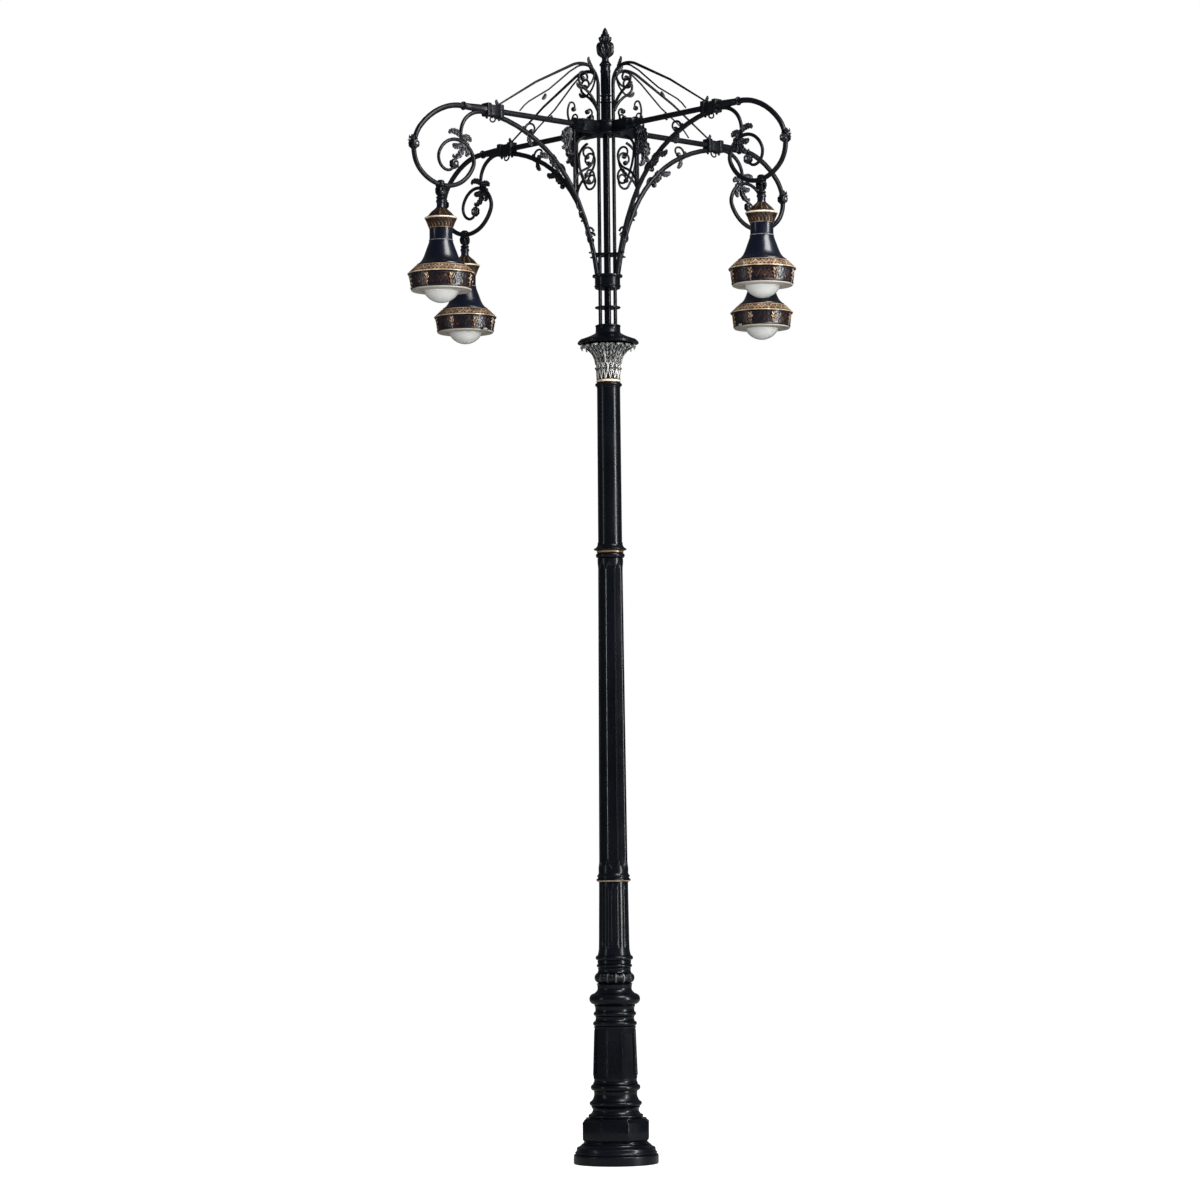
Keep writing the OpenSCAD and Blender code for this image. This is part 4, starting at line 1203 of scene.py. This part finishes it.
def bowl_frame(name):
    """Hinged ring under the drum: a pale dished plate with a bead that holds the glass."""
    z = DRUM_FOOT
    outline = [(94, z - 5), (94, z - 9), (98, z - 11), (103, z - 9), (110, z - 5.5), (140, z - 4.5),
               (147, z - 8), (151, z - 8.5), (154, z - 6), (154, z - 1)]
    return turned(name, outline, "grey_enamel", bore=93)


def glass_bowl(name):
    """Shallow pressed glass bowl with its lip in the ring."""
    depth, r, lip = 60.0, BOWL_R - 7, DRUM_FOOT - 5
    big = (r * r + depth * depth) / (2 * depth)
    centre = lip - 4 - depth + big
    angle = math.degrees(math.asin(r / big))
    outer = arc(0, centre, big, -90, -90 + angle, 18)
    inner = arc(0, centre, big - 4, -90 + angle - 1.5, -90, 18)
    rows = outer + [(r, lip), (BOWL_R, lip), (BOWL_R, lip + 3.5), (BOWL_R - 11, lip + 3.5)] + inner
    return turned(name, rows, "opal_glass", sides=72, angle=50)


def bowl_knuckle(name):
    """Hinge knuckle of the bowl ring."""
    barrel = placed(turned("barrel", [(6, -12.5), (6, 12.5)], "grey_enamel", bore=3.05, sides=32), BOWL_HINGE)
    web = block("web", (-158, -12.5, DRUM_FOOT - 8), (-147, 12.5, DRUM_FOOT - 2), "grey_enamel", 0.6)
    return joined(name, [barrel, web])


def drum_hinge(name):
    """The drum's two hinge lugs and the pin through them."""
    parts = [placed(turned("pin", [(0, -21), (3, -21), (3, 21), (0, 21)], "drum_enamel", sides=24), BOWL_HINGE)]
    for low, high in ((-21, -13), (13, 21)):
        parts.append(placed(turned("lug", [(6, low), (6, high)], "drum_enamel", bore=2.9, sides=32), BOWL_HINGE))
        parts.append(block("lug_web", (BOWL_HINGE_X, low, DRUM_FOOT), (-151, high, DRUM_FOOT + 6), "drum_enamel",
                           0.6))
    return joined(name, parts)


def lanterns():
    """Builds one lantern on the axis and carries a copy to each arm."""
    models = [(bell_shell("bell_model"), "bell_shell", "lantern", "bell_enamel", "bell"),
              (tongue("tongue_model"), "bell_eye", "lantern", "iron_enamel", "bell"),
              (gilt_bands(), "bell_gilt_bands", "lantern", "antique_gold", "bell"),
              (crown_leaves(), "crown_leaves", "lantern", "antique_gold", "bell"),
              (neck_thread(), "neck_thread", "lantern", "pewter", "bell"),
              (drum_shell("drum_model"), "drum_wall", "lantern", "drum_enamel", "drum"),
              (drum_ornament(), "drum_straps", "lantern", "antique_gold", "drum"),
              (drum_hinge("drum_hinge_model"), "drum_hinge", "lantern", "drum_enamel", "drum"),
              (bowl_frame("ring_model"), "bowl_frame", "bowl", "grey_enamel", "bowl_ring"),
              (bowl_knuckle("knuckle_model"), "bowl_knuckle", "bowl", "grey_enamel", "bowl_ring"),
              (glass_bowl("glass_model"), "bowl_glass", "bowl", "opal_glass", "glass_bowl")]
    for i in ARMS:
        for model, name, body, slot, node in models:
            piece = copied(model, f"{name}_{i}", at_lantern(i))
            show(piece, f"{body}_{i}", slot, f"{node}_{i}")
    for row in models:
        bpy.data.objects.remove(row[0])


# ---- CAD pieces that stay, with their finishes ----

KEPT = {"access_door": "iron_enamel", "door_hinge_pins": "pin_steel", "door_lock": "pin_steel",
        "fuse_board": "board_laminate", "fuse_box": "fuse_plastic", "hanger_pins": "pin_steel"}
for n in ARMS:
    KEPT.update({f"reflector_{n}": "spun_aluminium", f"lampholder_{n}": "porcelain", f"lamp_{n}": "lamp_glass"})


def kept_nodes():
    """Gives each CAD node that stays its finish."""
    for node, finish in KEPT.items():
        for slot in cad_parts[node].material_slots:
            slot.material = FINISH[finish]


# ---- Stage, light and camera ----

FLOOR_HALF_WIDTH = 90000
FLOOR_GLOW = 1.0
WORLD_GLOW = 0.1
# Name, angle from the camera in degrees, distance and height in metres, width, height, power, and
# whether gloss mirrors it
STUDIO_LIGHTS = (("right_light", 62, 13.0, 4.6, 1.6, 9.0, 1400, True),
                 ("left_light", -64, 12.0, 4.0, 0.8, 7.0, 120, True),
                 ("top_light", 48, 7.0, 10.5, 4.5, 4.5, 900, True),
                 ("front_fill", 12, 10.0, 6.0, 5.0, 5.0, 800, False),
                 ("low_fill", -10, 8.0, 0.7, 6.0, 1.2, 350, False))
CAMERA_AZIMUTH = -42.9
CAMERA_DISTANCE = 17.5 * REACH
EYE_HEIGHT = 1680.0
PITCH, YAW, ROLL = 3.59, -0.16, 0.565
LENS = 115.3


def studio():
    """White floor and backdrop in plain soft studio light, with a tall soft light on the right."""
    w = FLOOR_HALF_WIDTH
    floor = mesh_object("floor", [(-w, -w, -1), (w, -w, -1), (w, w, -1), (-w, w, -1)], [(0, 1, 2, 3)])
    paint = bpy.data.materials.new("floor_paint")
    paint.use_nodes = True
    tree = paint.node_tree
    body = tree.nodes["Principled BSDF"]
    body.inputs["Base Color"].default_value = linear("#a2a2a0")
    body.inputs["Roughness"].default_value = 0.9
    body.inputs["Emission Color"].default_value = linear("#fdfdfb")
    ray = add(tree, "ShaderNodeLightPath")
    lift = add(tree, "ShaderNodeMath", {0: ray.outputs["Is Camera Ray"]}, {1: FLOOR_GLOW}, operation="MULTIPLY")
    tree.links.new(lift.outputs[0], body.inputs["Emission Strength"])
    floor.data.materials.append(paint)
    world = bpy.data.worlds.new("studio")
    bpy.context.scene.world = world
    world.use_nodes = True
    tree = world.node_tree
    tree.nodes.clear()
    ray = add(tree, "ShaderNodeLightPath")
    seen = add(tree, "ShaderNodeBackground", values={"Color": linear("#ffffff"), "Strength": 1.0})
    glow = add(tree, "ShaderNodeBackground", values={"Color": linear("#eef1f8"), "Strength": WORLD_GLOW})
    mix = add(tree, "ShaderNodeMixShader",
              {0: ray.outputs["Is Camera Ray"], 1: glow.outputs[0], 2: seen.outputs[0]})
    add(tree, "ShaderNodeOutputWorld", {"Surface": mix.outputs[0]})
    for name, turn, distance, height, size, tall, power, mirrored in STUDIO_LIGHTS:
        lamp = bpy.data.lights.new(name, "AREA")
        lamp.shape = "RECTANGLE"
        lamp.size, lamp.size_y, lamp.energy = size, tall, power
        obj = bpy.data.objects.new(name, lamp)
        a = math.radians(CAMERA_AZIMUTH + turn)
        obj.location = (distance * math.cos(a), distance * math.sin(a), height)
        aim = Vector((0, 0, 3.4)) - obj.location
        obj.rotation_euler = aim.to_track_quat("-Z", "Y").to_euler()
        obj.visible_glossy = mirrored
        bpy.context.collection.objects.link(obj)
    bpy.context.scene.view_settings.view_transform = "Standard"


def camera():
    """A distant camera at EYE_HEIGHT, looking slightly up and tilted a little."""
    a = math.radians(CAMERA_AZIMUTH)
    outward = Vector((math.cos(a), math.sin(a), 0))
    right = Vector((-outward.y, outward.x, 0))
    ahead, up = -outward, Vector((0, 0, 1))
    yaw, pitch, roll = (math.radians(v) for v in (YAW, PITCH, ROLL))
    ahead, right = ahead * math.cos(yaw) + right * math.sin(yaw), right * math.cos(yaw) - ahead * math.sin(yaw)
    ahead, up = ahead * math.cos(pitch) + up * math.sin(pitch), up * math.cos(pitch) - ahead * math.sin(pitch)
    right, up = right * math.cos(roll) - up * math.sin(roll), up * math.cos(roll) + right * math.sin(roll)
    data = bpy.data.cameras.new("camera")
    data.lens, data.sensor_width = LENS, 36.0
    data.clip_end = 500
    obj = bpy.data.objects.new("camera", data)
    place = outward * CAMERA_DISTANCE * MM + Vector((0, 0, EYE_HEIGHT * MM))
    turn = Matrix((right, up, -ahead)).transposed().to_4x4()
    obj.matrix_world = Matrix.Translation(place) @ turn
    bpy.context.collection.objects.link(obj)
    bpy.context.scene.camera = obj


camera()
studio()
kept_nodes()
for build in (foot, plinth, pedestal, access_door, upper_moulding, gadroon_ring, lower_shaft, fluted_shaft,
              upper_shaft, capital, stage_collar, stage_band, hub, centre_pipe, finial, stage_bars, arm_clamps,
              scroll_work, arm_leaves, hangers, lanterns):
    build()
for n in ARMS:
    beam(n)
    arch_rib(n)
